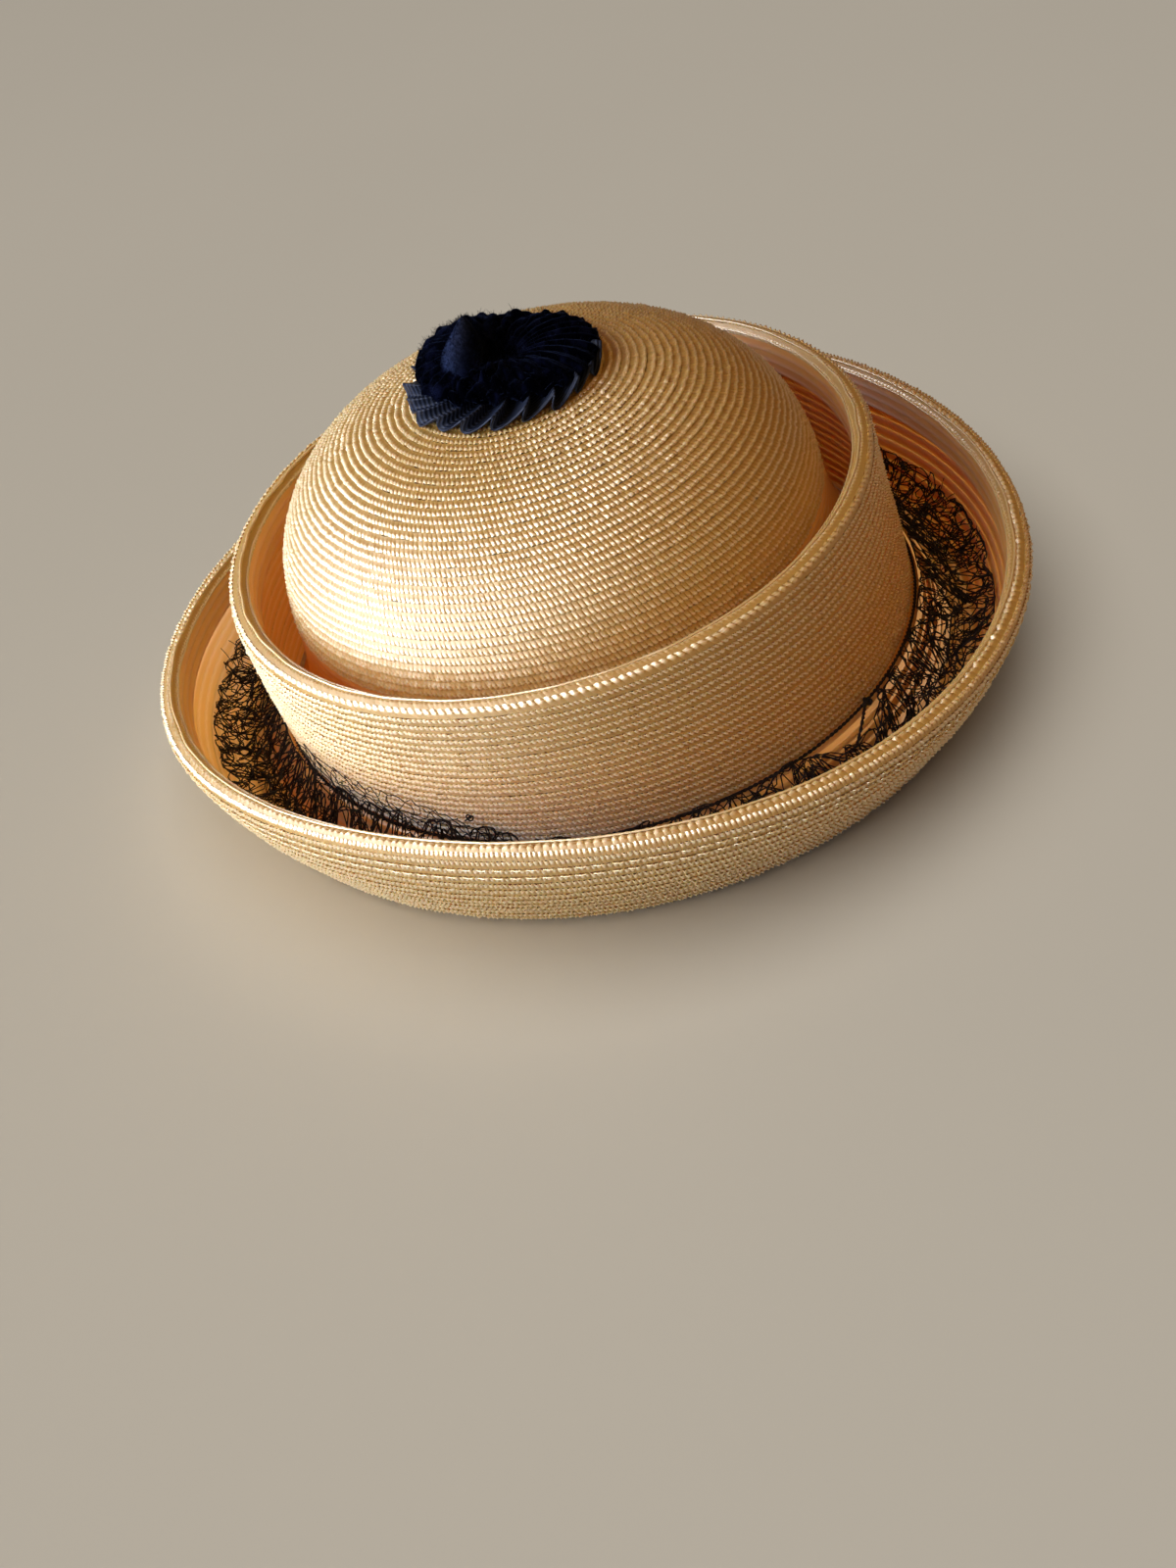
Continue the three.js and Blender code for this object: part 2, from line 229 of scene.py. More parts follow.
class StageSettings(bpy.types.PropertyGroup):
    """Camera, light and floor."""

    azimuth: angle_prop("Azimuth", "Camera's turn from the front", -0.9938)
    elevation: angle_prop("Elevation", "Camera's height over the horizon", 0.5493)
    roll: angle_prop("Roll", "Camera's turn about its axis", 0.3135)
    distance: length_prop("Distance", "Camera to the middle of the cuff's rim", 462.7)
    aim_across: FloatProperty(
        name="Aim across", description="Rim's middle right of the frame's middle, per focal length",
        default=-0.0309,
    )
    aim_up: FloatProperty(
        name="Aim up", description="Rim's middle over the frame's middle, per focal length", default=0.1911
    )
    key_power: power_prop("Key", "Power of the window light", 55.0)
    gloss_power: power_prop("Gloss", "Power of the bright window that the straw mirrors", 305.0)
    table_power: power_prop("Table", "Power of the pale table that the walls mirror", 26.0)
    glow_power: power_prop("Glow", "Power of the warm glow", 20.0)
    wash_power: power_prop("Wash", "Power of the floor's light", 221.0)
    through_power: power_prop("Through", "Power of the light through the straw in the trough", 9.0)
    moat_power: power_prop("Moat", "Power of the light through the straw in the moat", 4.0)
    rim_power: power_prop("Rim", "Power of the light on the rims", 1.0)
    floor: colour_prop("Floor", "Colour of the floor", (0.56, 0.53, 0.485))


class HatSettings(bpy.types.PropertyGroup):
    """All settings of the hat."""

    straw: PointerProperty(type=StrawSettings)
    veil: PointerProperty(type=VeilSettings)
    rosette: PointerProperty(type=RosetteSettings)
    stage: PointerProperty(type=StageSettings)


def settings():
    """The scene's hat settings."""
    return bpy.context.scene.breton_hat


# Meshes


class Shells:
    """Closed shells gathered into one mesh, with UVs at face corners and values at vertices."""

    def __init__(self):
        self.points = []
        self.quads = []
        self.triangles = []
        self.corner_uvs = []
        self.values = {}
        self.count = 0

    def add(self, points, quads, triangles=None, uvs=None, **values):
        """One shell. Values have one number for each of its points."""
        self.points.append(points.reshape(-1, 3))
        self.quads.append(quads + self.count)
        if triangles is not None:
            self.triangles.append(triangles + self.count)
        if uvs is not None:
            self.corner_uvs.append(uvs.reshape(-1, 2))
        for name, numbers in values.items():
            self.values.setdefault(name, []).append(np.ravel(numbers))
        self.count += self.points[-1].shape[0]

    def piece(self, name, material, slot, node, strand_sides=None):
        """Blender object of the shells, with faces turned out, riding on the hat's body.

        Rows of braid give the sides of their section, and the valleys between strands are creased.
        """
        points = np.concatenate(self.points) * MM
        quads = np.concatenate(self.quads)
        triangles = np.concatenate(self.triangles) if self.triangles else np.zeros((0, 3), int)
        corners = np.concatenate([quads.ravel(), triangles.ravel()])
        sizes = np.concatenate([np.full(len(quads), 4), np.full(len(triangles), 3)])
        mesh = bpy.data.meshes.new(name)
        mesh.vertices.add(len(points))
        mesh.vertices.foreach_set("co", points.astype(np.float32).ravel())
        mesh.loops.add(len(corners))
        mesh.loops.foreach_set("vertex_index", corners.astype(np.int32))
        mesh.polygons.add(len(sizes))
        starts = np.concatenate([[0], np.cumsum(sizes)[:-1]])
        mesh.polygons.foreach_set("loop_start", starts.astype(np.int32))
        mesh.update(calc_edges=True)
        if self.corner_uvs:
            layer = mesh.uv_layers.new(name=UV_MAP)
            uvs = np.concatenate(self.corner_uvs)
            layer.uv.foreach_set("vector", uvs.astype(np.float32).ravel())
        for key, numbers in self.values.items():
            attribute = mesh.attributes.new(key, "FLOAT", "POINT")
            attribute.data.foreach_set("value", np.concatenate(numbers).astype(np.float32))
        if self.volume(points, quads, triangles) < 0:
            mesh.flip_normals()
        mesh.shade_smooth()
        if strand_sides:
            self.crease(mesh, strand_sides)
        if mesh.validate():
            raise RuntimeError(f"{name} has faulty faces")
        obj = bpy.data.objects.new(name, mesh)
        bpy.context.scene.collection.objects.link(obj)
        mesh.materials.append(finish_named(material))
        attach(obj, BODY)
        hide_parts(node)
        return obj

    def crease(self, mesh, sides):
        """Sharp edges between strands, at each odd column, and along both edges of every row."""
        ends = np.zeros(2 * len(mesh.edges), np.int32)
        mesh.edges.foreach_get("vertices", ends)
        ends = ends.reshape(-1, 2)
        column, side = ends // sides, ends % sides
        strand = np.concatenate(self.values["strand"])[ends[:, 0]] > 0
        face = (side < sides - 1).all(1)
        valley = strand & face & (column[:, 0] == column[:, 1]) & (column[:, 0] % 2 == 1)
        edge = (side[:, 0] == side[:, 1]) & np.isin(side[:, 0], (0, sides - 2))
        mesh.attributes.new("sharp_edge", "BOOLEAN", "EDGE").data.foreach_set("value", valley | edge)

    @staticmethod
    def volume(points, quads, triangles):
        """Signed volume: a third of each triangle's corner dotted with its area vector."""
        faces = np.concatenate([quads[:, :3], quads[:, [0, 2, 3]], triangles])
        a, b, c = points[faces[:, 0]], points[faces[:, 1]], points[faces[:, 2]]
        return np.einsum("ij,ij->i", a, np.cross(b, c)).sum() / 6


def torus_quads(columns, sides):
    """Quads of a grid that closes both ways: columns by sides."""
    column, side = np.meshgrid(np.arange(columns), np.arange(sides), indexing="ij")
    next_column = (column + 1) % columns
    next_side = (side + 1) % sides
    corners = [
        column * sides + side,
        next_column * sides + side,
        next_column * sides + next_side,
        column * sides + next_side,
    ]
    return np.stack(corners, -1).reshape(-1, 4)


def tube_quads(sides, steps):
    """Quads of an open tube: one ring of sides for each step along it."""
    side, step = np.meshgrid(np.arange(sides), np.arange(steps - 1), indexing="ij")
    here, ahead = step * sides, (step + 1) * sides
    beyond = (side + 1) % sides
    return np.stack([here + side, ahead + side, ahead + beyond, here + beyond], -1).reshape(-1, 4)


def unit(vectors):
    """Vectors over their lengths."""
    return vectors / np.maximum(np.linalg.norm(vectors, axis=-1, keepdims=True), 1e-9)


def table_at(place, keys, table):
    """Columns of a table, each read at places between its keys."""
    return np.stack([np.interp(place, keys, column) for column in np.array(table).T], -1)


def evenly_at(place, table):
    """Columns of a table whose rows stand evenly from 0 to 1."""
    return table_at(place, np.linspace(0, 1, len(table)), table)


def read_table(table, place):
    """Second column of a table where its first has the place."""
    return np.interp(place, *np.array(table).T)


def ring_point(section, angle):
    """Point of a section: radius r(1 + oval cos 2t), height z + rise cos 2t, front at t = 0."""
    radius, height, oval, rise, forward = np.moveaxis(section, -1, 0)
    swing = np.cos(2 * angle)
    reach = radius * (1 + oval * swing)
    return np.stack(
        [reach * np.sin(angle), -reach * np.cos(angle) - forward, height + rise * swing], -1
    )


def ripple(rng, across, along, waves, count=6):
    """Sum of sines in two parameters, with whole waves along, so that it closes. Unit spread."""
    total = np.zeros(np.broadcast(across, along).shape)
    for _ in range(count):
        turns = rng.integers(*waves)
        lean = rng.uniform(-5, 5)
        total += np.sin(2 * math.pi * (turns * along + lean * across + rng.random()))
    return total / math.sqrt(count / 2)


class WallPath:
    """Face of a wall: a monotone cubic through its sections, moved sideways by an offset."""

    STEP = 0.25

    def __init__(self, sections, side, offset=0.0):
        rows = self.through(np.array(sections, float))
        direction = np.gradient(rows[:, :2], axis=0)
        normal = side * np.stack([direction[:, 1], -direction[:, 0]], -1)
        self.normals = normal / np.linalg.norm(normal, axis=1, keepdims=True)
        rows[:, :2] += offset * self.normals
        steps = np.hypot(*np.diff(rows[:, :2], axis=0).T)
        self.at = np.concatenate([[0], np.cumsum(steps)])
        self.rows = rows
        self.length = self.at[-1]

    def through(self, rows):
        """Cubic through the rows by distance, with slopes of harmonic means, so none overshoots."""
        gap = np.hypot(*np.diff(rows[:, :2], axis=0).T)
        at = np.concatenate([[0], np.cumsum(gap)])
        slope = np.diff(rows, axis=0) / gap[:, None]
        before, after = slope[:-1], slope[1:]
        same = before * after > 0
        mean = 2 * before * after / np.where(same, before + after, 1)
        tangent = np.vstack([slope[:1], np.where(same, mean, 0), slope[-1:]])
        place = np.linspace(0, at[-1], int(at[-1] / self.STEP) + 1)
        index = np.clip(np.searchsorted(at, place, "right") - 1, 0, len(gap) - 1)
        width = gap[index][:, None]
        x = (place - at[index])[:, None] / width
        return (
            rows[index] * (2 * x**3 - 3 * x**2 + 1)
            + rows[index + 1] * (3 * x**2 - 2 * x**3)
            + tangent[index] * width * (x**3 - 2 * x**2 + x)
            + tangent[index + 1] * width * (x**3 - x**2)
        )

    def sample(self, place):
        """Sections and outward normals at distances along the face."""
        return table_at(place, self.at, self.rows), table_at(place, self.at, self.normals)


def rolled(edge, hem):
    """Sections over a rolled edge, a half circle inwards, and down its hem."""
    radius, height = edge[:2]
    depth, lean = hem
    turn = np.linspace(0, math.pi, ROLL_STEPS + 1)
    centre = height - STRAW_WALL / 2 - ROLL_RADIUS
    roll = np.tile(np.array(edge, float), (ROLL_STEPS + 2, 1))
    roll[:-1, 0] = radius + ROLL_RADIUS * np.cos(turn)
    roll[:-1, 1] = centre + ROLL_RADIUS * np.sin(turn)
    roll[-1, 0] = radius - ROLL_RADIUS - lean
    roll[-1, 1] = centre - depth
    return [tuple(row) for row in roll]


def braid_row(shells, path, start, width, look, slant, rng, depth_share):
    """One row of braid: its section carried round the hat, ridged and leaning strand by strand.

    Column j of a strand stands relief times +1 or -1 off the row's face, and a point that is
    p of the way across the row is turned forward by slant times p over the radius.
    """
    sizes = settings().straw
    pitch, relief, paleness = look
    place, depth, share, pale = np.array(ROW_SECTION).T
    section, normal = path.sample(start + place * width)
    radius = max(section[:, 0].mean(), 1.0)
    strands = max(round(2 * math.pi * radius / (pitch * sizes.strand / MM)), 8)
    columns = 2 * strands
    column = np.arange(columns)
    ridge = np.where(column % 2, -1.0, 1.0) if relief else np.zeros(columns)
    uneven = np.repeat(rng.normal(0, 0.3, strands), 2)
    lift = relief * sizes.relief / MM * (ridge + uneven)[:, None] * share - depth * depth_share
    angle = 2 * math.pi * (column + 2 * rng.random() + rng.normal(0, 0.12, columns)) / columns
    drift = 0.05 * np.sin(3 * angle + rng.uniform(0, 6)) + 0.04 * np.sin(11 * angle + rng.uniform(0, 6))
    drift = drift + np.repeat(rng.normal(0, 0.07, strands), 2) * (relief > 0)
    turned = angle[:, None] + slant * (place - 0.5) / radius
    ring = np.broadcast_to(section, (columns,) + section.shape).copy()
    ring[..., 0] += normal[:, 0] * lift - normal[:, 1] * drift[:, None]
    ring[..., 1] += normal[:, 1] * lift + normal[:, 0] * drift[:, None]
    ring[..., 0] = np.maximum(ring[..., 0], 0.02)
    # Crest value: high on strand tops, low in the valleys and at the row's edges, which paints shade into
    # them
    crest = paleness * pale * (0.5 + 0.5 * ridge[:, None] * share)
    tone = rng.random(strands) if relief else np.full(strands, rng.random())
    tone = np.repeat(tone, 2)[:, None] + np.zeros(len(place))
    shown = np.full(crest.shape, relief > 0)
    quads = torus_quads(columns, len(place))
    uvs = row_uvs(columns, place, 2 * math.pi * radius / columns, slant)
    shells.add(ring_point(ring, turned), quads, None, uvs, crest=crest, tone=tone, strand=shown)


def row_uvs(columns, place, step, slant):
    """Corner UVs of a row: millimetres along it, leaning with the strands, and the place across."""
    column, side = np.meshgrid(np.arange(columns), np.arange(len(place)), indexing="ij")
    across = np.stack([place[side]] * 2 + [place[(side + 1) % len(place)]] * 2, -1)
    along = step * np.stack([column, column + 1, column + 1, column], -1)
    return np.stack([along + slant * (across - 0.5), across], -1)


def braid(path, rng, slant, look_at, row, first=0.0, last=None, depth_share=1.0):
    """Rows of braid side by side along a face. look_at gives a row's look from its section and number."""
    last = path.length if last is None else last
    rows = round((last - first) * MM / row)
    width = (last - first) / rows
    shells = Shells()
    for number in range(rows):
        start = first + number * width
        section, _ = path.sample(np.array([start + width / 2]))
        braid_row(shells, path, start, width, look_at(section[0], number), slant, rng, depth_share)
    return shells


def beaded_lines(path, places, waver, rng):
    """Thin beaded rings on a face: each at a distance along it, swung to and fro by ripples."""
    shells = Shells()
    along = np.arange(LINE_STEPS) / LINE_STEPS
    radius = LINE_RADIUS * np.tile(BEADS, LINE_STEPS // 2)
    full = np.ones(4 * LINE_STEPS)
    for place in places:
        section, normal = path.sample(place + waver * ripple(rng, 0.0, along, (6, 44)))
        section[:, :2] += LINE_LIFT * normal
        tone = np.repeat(rng.random(LINE_STEPS), 4)
        line = ring_point(section, 2 * math.pi * along)[None]
        looks = {"crest": LINE_PALENESS * full, "tone": tone, "strand": full}
        tubes(shells, line, radius, closed=True, sides=4, **looks)
    return shells


def stitches(path, places, rng):
    """Short threads sewn round a face: each a flat arch over the braid, with a gap to the next."""
    shells = Shells()
    bend = np.linspace(0, 1, STITCH_STEPS)
    pitch = settings().straw.stitch / MM
    for place in places:
        section, normal = path.sample(np.full(STITCH_STEPS, place))
        section[:, :2] += (STITCH_RISE * np.sin(math.pi * bend) - STITCH_SUNK)[:, None] * normal
        count = round(2 * math.pi * section[0, 0] / pitch)
        start = np.arange(count)[:, None] + rng.normal(0, STITCH_UNEVEN, (count, 1))
        angle = 2 * math.pi * (start + STITCH_SHARE * bend) / count
        lines = ring_point(np.broadcast_to(section, (count, *section.shape)), angle)
        full = np.ones(3 * STITCH_STEPS * count)
        looks = {"crest": full, "tone": STITCH_TONE * full, "strand": full}
        tubes(shells, lines, STITCH_RADIUS, closed=False, **looks)
    return shells


def tubes(shells, lines, radius, closed, sides=3, **values):
    """Thin tubes along lines: lines by steps by 3. Each ring of sides lies across the line."""
    count, steps = lines.shape[:2]
    ahead = np.roll(lines, -1, 1) - np.roll(lines, 1, 1) if closed else np.gradient(lines, axis=1)
    tangent = unit(ahead)
    aside = unit(np.cross(tangent, NEAR_UP))
    up = np.cross(aside, tangent)
    turn = 2 * math.pi * np.arange(sides) / sides
    radius = np.broadcast_to(radius, (count, steps))[..., None, None]
    ring = aside[..., None, :] * np.cos(turn)[:, None] + up[..., None, :] * np.sin(turn)[:, None]
    points = lines[..., None, :] + radius * ring
    offset = (np.arange(count) * steps * sides)[:, None, None]
    caps = None
    if closed:
        quads = torus_quads(steps, sides)
    else:
        quads = tube_quads(sides, steps)
        fan = np.stack([np.zeros(sides - 2, int), np.arange(1, sides - 1), np.arange(2, sides)], -1)
        ends = np.concatenate([fan, fan[:, ::-1] + (steps - 1) * sides])
        caps = (ends[None] + offset).reshape(-1, 3)
    shells.add(points, (quads[None] + offset).reshape(-1, 4), caps, **values)


def trefoil(steps=48):
    """Closed line of a trefoil knot: (sin t + 2 sin 2t, cos t - 2 cos 2t, -sin 3t)."""
    turn = 2 * math.pi * np.arange(steps) / steps
    across = np.sin(turn) + 2 * np.sin(2 * turn)
    up = np.cos(turn) - 2 * np.cos(2 * turn)
    return np.stack([across, up, -np.sin(3 * turn)], -1)


# Materials


class Finish:
    """Node material in the making: its nodes, its links and a Principled shader."""

    def __init__(self, name):
        self.material = bpy.data.materials.new(name)
        self.material.use_nodes = True
        self.nodes = self.material.node_tree.nodes
        self.links = self.material.node_tree.links
        self.shader = self.nodes["Principled BSDF"]

    def put(self, socket, value):
        """Links an output to a socket, or sets a number, a vector or a colour on it."""
        if isinstance(value, bpy.types.NodeSocket):
            self.links.new(value, socket)
        else:
            socket.default_value = (*value, 1) if socket.type == "RGBA" else value

    def node(self, kind, inputs, **traits):
        """Outputs of a new node, with its inputs by name or number."""
        node = self.nodes.new("ShaderNode" + kind)
        for trait, value in traits.items():
            setattr(node, trait, value)
        for key, value in inputs.items():
            self.put(node.inputs[key], value)
        return node.outputs

    def finished(self, inputs):
        """The material, with the shader's inputs."""
        for key, value in inputs.items():
            self.put(self.shader.inputs[key], value)
        return self.material

    def value(self, name):
        """Output of a vertex value."""
        return self.node("Attribute", {}, attribute_name=name)["Fac"]

    def uv(self):
        """Output of the piece's own UV map."""
        return self.node("UVMap", {}, uv_map=UV_MAP)["UV"]

    def noise(self, scale, detail, stretch=(1, 1, 1)):
        """Noise in the piece's own space, in metres."""
        place = self.node("TexCoord", {})["Object"]
        place = self.node("Mapping", {"Vector": place, "Scale": stretch})["Vector"]
        return self.node("TexNoise", {"Vector": place, "Scale": scale, "Detail": detail})["Fac"]

    def mix(self, share, low, high):
        """Colour from low to high by a share."""
        return self.node("Mix", {0: share, 6: low, 7: high}, data_type="RGBA")[2]

    def remap(self, value, low, high, out_low=0.0, out_high=1.0):
        """Value from low to high, taken to a new range and held there."""
        ends = {"From Min": low, "From Max": high, "To Min": out_low, "To Max": out_high}
        return self.node("MapRange", {"Value": value, **ends})["Result"]

    def work(self, operation, *values):
        """Output of one sum, product or function of outputs and numbers."""
        return self.node("Math", dict(enumerate(values)), operation=operation)[0]

    def bump(self, height, distance, strength):
        """Normal bent by a height, in metres."""
        inputs = {"Height": height, "Distance": distance, "Strength": strength}
        return self.node("Bump", inputs)["Normal"]


def seam_arches(straw, length):
    """Thread of the seam: one arch a stitch along each row, over the upper edge of its strands."""
    parts = straw.node("SeparateXYZ", {"Vector": straw.uv()})
    phase = straw.work("MULTIPLY", parts["X"], math.pi / length)
    arch = straw.work("ABSOLUTE", straw.work("SINE", phase))
    seam = straw.work("MULTIPLY_ADD", arch, STITCH_ARCH, STITCH_FOOT)
    off = straw.work("ABSOLUTE", straw.work("SUBTRACT", parts["Y"], seam))
    return straw.remap(off, STITCH_HALF / 2, STITCH_HALF, 0.85, 0.0)


def straw_finish(straw):
    """Glossy straw: amber in the grooves, partly its own colour and partly painted shade, pale on the
    crests, each strand a little different.
    """
    sizes = settings().straw
    crest = straw.remap(straw.value("crest"), 0.08, 0.62)
    # Crest colour on top, groove colour in the valleys and at row edges: painted shade over the straw's own
    # amber
    colour = straw.mix(crest, sizes.groove_shade, sizes.crest)
    tone = straw.remap(straw.value("tone"), 0, 1, 0.0, 0.22)
    colour = straw.mix(tone, colour, (0.54, 0.33, 0.07))
    patch = straw.remap(straw.noise(28, 3), 0.4, 0.8, 0.0, 0.2)
    colour = straw.mix(patch, colour, (0.52, 0.3, 0.05))
    colour = straw.mix(seam_arches(straw, sizes.stitch / MM), colour, (0.84, 0.66, 0.38))
    # Smooth inside rows take the lining colour, whose bright orange is partly painted glow of light through
    # the straw
    inside = straw.remap(straw.value("strand"), 0, 1, 0.8, 0.0)
    fibre = straw.noise(2600, 2)
    return straw.finished({
        "Base Color": straw.mix(inside, colour, sizes.lining_glow),
        "Roughness": straw.remap(fibre, 0.3, 0.7, 0.36, 0.54),
        "IOR": 2.0,
        "Specular IOR Level": straw.remap(crest, 0, 1, 0.3, 1.0),
        "Subsurface Weight": 0.3,
        "Subsurface Radius": (1.0, 0.42, 0.12),
        "Subsurface Scale": 0.0018,
        "Normal": straw.bump(fibre, 0.00004, 0.5),
    })


def net_finish(net):
    """Matt dark thread, a little uneven."""
    uneven = net.remap(net.noise(420, 2), 0.35, 0.7)
    return net.finished({
        "Base Color": net.mix(uneven, settings().veil.colour, (0.02, 0.017, 0.02)),
        "Roughness": 0.6,
        "Specular IOR Level": 0.3,
        "Normal": net.bump(net.noise(3000, 2), 0.00006, 0.6),
    })


def ribbon_finish(ribbon):
    """Ribbed satin ribbon: fine ribs across it, read from the ribbon's own UV map, with a painted highlight
    on each rib.
    """
    rosette = settings().rosette
    bands = {"Vector": ribbon.uv(), "Scale": WAVE_SCALE / RIB_PITCH}
    wave = ribbon.node("TexWave", bands, wave_type="BANDS", bands_direction="Y")["Fac"]
    return ribbon.finished({
        # Lighter blue on the ribs: painted highlight
        "Base Color": ribbon.mix(ribbon.remap(wave, 0.2, 0.9), rosette.ribbon, (0.022, 0.033, 0.075)),
        "Roughness": 0.5,
        "Specular IOR Level": 0.08,
        "Sheen Weight": 0.2,
        "Sheen Roughness": 0.4,
        "Sheen Tint": rosette.sheen,
        "Normal": ribbon.bump(wave, 0.00015, 0.8),
    })


def velvet_finish(velvet):
    """Velvet: almost black face on, bluish where seen from the side, and paler blue along the fold's left
    ridge, where a highlight is painted.
    """
    rosette = settings().rosette
    crush = velvet.remap(velvet.noise(260, 4, (1, 1, 0.35)), 0.5, 0.72)
    colour = velvet.mix(crush, rosette.velvet, (0.004, 0.006, 0.024))
    streak = velvet.remap(velvet.noise(900, 2, (1, 1, 0.2)), 0.35, 0.65, 0.45, 1.0)
    # Painted highlight along the fold's lit left ridge, streaked by a noise
    lighted = velvet.work("MULTIPLY", velvet.value("nap"), streak)
    return velvet.finished({
        "Base Color": velvet.mix(lighted, colour, rosette.nap),
        "Roughness": 0.9,
        "Specular IOR Level": 0.0,
        "Sheen Weight": 1.0,
        "Sheen Roughness": 0.35,
        "Sheen Tint": rosette.sheen,
        "Normal": velvet.bump(velvet.noise(1500, 3), 0.0003, 0.7),
    })


def floor_finish(floor):
    """Plain pale floor with a faint unevenness."""
    base = tuple(settings().stage.floor)
    darker = tuple(0.95 * channel for channel in base)
    return floor.finished({"Base Color": floor.mix(floor.noise(3, 4), base, darker), "Roughness": 0.6})


FINISHES = {
    "sewn_straw": straw_finish,
    "net_thread": net_finish,
    "ribbed_ribbon": ribbon_finish,
    "cut_velvet": velvet_finish,
    "studio_floor": floor_finish,
}


def finish_named(name):
    """Material of that name, made on first use."""
    return bpy.data.materials.get(name) or FINISHES[name](Finish(name))


# Operators


class HAT_OT_stage(bpy.types.Operator):
    """Floor, soft window light and a camera at the viewing angle"""

    bl_idname = "breton_hat.stage"
    bl_label = "Stage"
    # Lights: place in metres to the camera's right, towards it and up, size, colour
    LIGHTS = {
        "key": ((-1.7, 0.55, 0.95), 2.0, (1.0, 0.985, 0.96)),
        "gloss": ((-1.62, 0.52, 1.1), 3.0, (0.97, 0.99, 1.0)),
        "table": ((-1.05, 0.9, -0.6), 1.8, (0.84, 0.93, 1.0)),
        "glow": ((0.7, 0.8, 1.45), 4.0, (1.0, 0.43, 0.04)),
        "wash": ((-0.7, 0.0, 4.2), 6.0, (1.0, 0.94, 0.84)),
        "through": ((1.0, 0.0, 0.22), 1.0, (1.0, 0.78, 0.56)),
        "moat": ((1.0, 0.0, 0.22), 1.0, (1.0, 0.58, 0.24)),
        "rim": ((-1.1, -0.3, 1.5), 1.0, (1.0, 0.95, 0.86)),
    }
    # Pieces that a light is kept off, and pieces that it is kept to
    KEPT_OFF = {
        "key": ("floor",),
        "gloss": ("floor", "veil_net", "draw_cord"),
        "table": ("floor", "veil_net", "draw_cord", "brim_inside", "cuff_inside", "crown_braid"),
        "glow": ("floor",),
    }
    KEPT_TO = {
        "wash": ("floor",),
        "through": ("brim_inside",),
        "moat": ("cuff_inside",),
        "rim": ("cuff_edge", "cuff_lines", "brim_edge", "brim_lines"),
    }
    MATT_ALONE = ("key",)
    GLOSS_ALONE = ("gloss", "table")
    SHADOWLESS = ("table", "through", "moat")
    AIM_HEIGHT = 0.05
    ROOM_COLOUR = (1.0, 0.94, 0.86)
    ROOM_LIGHT = 0.04
    BACKDROP = 0.25
    FLOOR_HALF = 6.0
    LENS = 36
    CLIP_START = 0.01

    def execute(self, context):
        stage = settings().stage
        self.floor()
        self.camera(context, stage)
        for name in self.LIGHTS:
            self.light(name, stage)
        context.scene.world = self.room(stage)
        context.scene.view_settings.view_transform = "Standard"
        return {"FINISHED"}

    def room(self, stage):
        """Dim warm room, which the camera sees as a plain backdrop in the floor's colour."""
        world = bpy.data.worlds.new("studio")
        world.use_nodes = True
        nodes, links = world.node_tree.nodes, world.node_tree.links
        dim, seen = nodes["Background"], nodes.new("ShaderNodeBackground")
        dim.inputs["Color"].default_value = (*self.ROOM_COLOUR, 1)
        dim.inputs["Strength"].default_value = self.ROOM_LIGHT
        seen.inputs["Color"].default_value = (*stage.floor, 1)
        seen.inputs["Strength"].default_value = self.BACKDROP
        choice = nodes.new("ShaderNodeMixShader")
        links.new(nodes.new("ShaderNodeLightPath").outputs["Is Camera Ray"], choice.inputs["Fac"])
        links.new(dim.outputs["Background"], choice.inputs[1])
        links.new(seen.outputs["Background"], choice.inputs[2])
        links.new(choice.outputs["Shader"], nodes["World Output"].inputs["Surface"])
        return world

    def floor(self):
        """Square floor on which the hat stands."""
        half = self.FLOOR_HALF
        corners = [(-half, -half, 0), (half, -half, 0), (half, half, 0), (-half, half, 0)]
        mesh = bpy.data.meshes.new("floor")
        mesh.from_pydata(corners, [], [(0, 1, 2, 3)])
        mesh.materials.append(finish_named("studio_floor"))
        obj = bpy.data.objects.new("floor", mesh)
        bpy.context.scene.collection.objects.link(obj)

    def camera(self, context, stage):
        """Camera turned about the middle of the cuff's rim, which is seen off the frame's middle."""
        az, el = stage.azimuth, stage.elevation
        back = Vector((math.sin(az) * math.cos(el), -math.cos(az) * math.cos(el), math.sin(el)))
        right = Vector((math.cos(az), math.sin(az), 0))
        frame_axes = Matrix((right, back.cross(right), back))
        rolled_axes = Matrix.Rotation(stage.roll, 3, "Z") @ frame_axes
        seen = Vector((stage.aim_across, stage.aim_up, -1)).normalized()
        tilt = Vector((0, 0, -1)).rotation_difference(seen).to_matrix()
        turn = (tilt @ rolled_axes).transposed()
        data = bpy.data.cameras.new("camera")
        data.lens = data.sensor_width = self.LENS
        data.clip_start = self.CLIP_START
        obj = bpy.data.objects.new("camera", data)
        centre = Vector((0, 0, CUFF_ROLL[1] * MM))
        obj.matrix_world = Matrix.Translation(centre + back * stage.distance) @ turn.to_4x4()
        context.scene.collection.objects.link(obj)
        context.scene.camera = obj

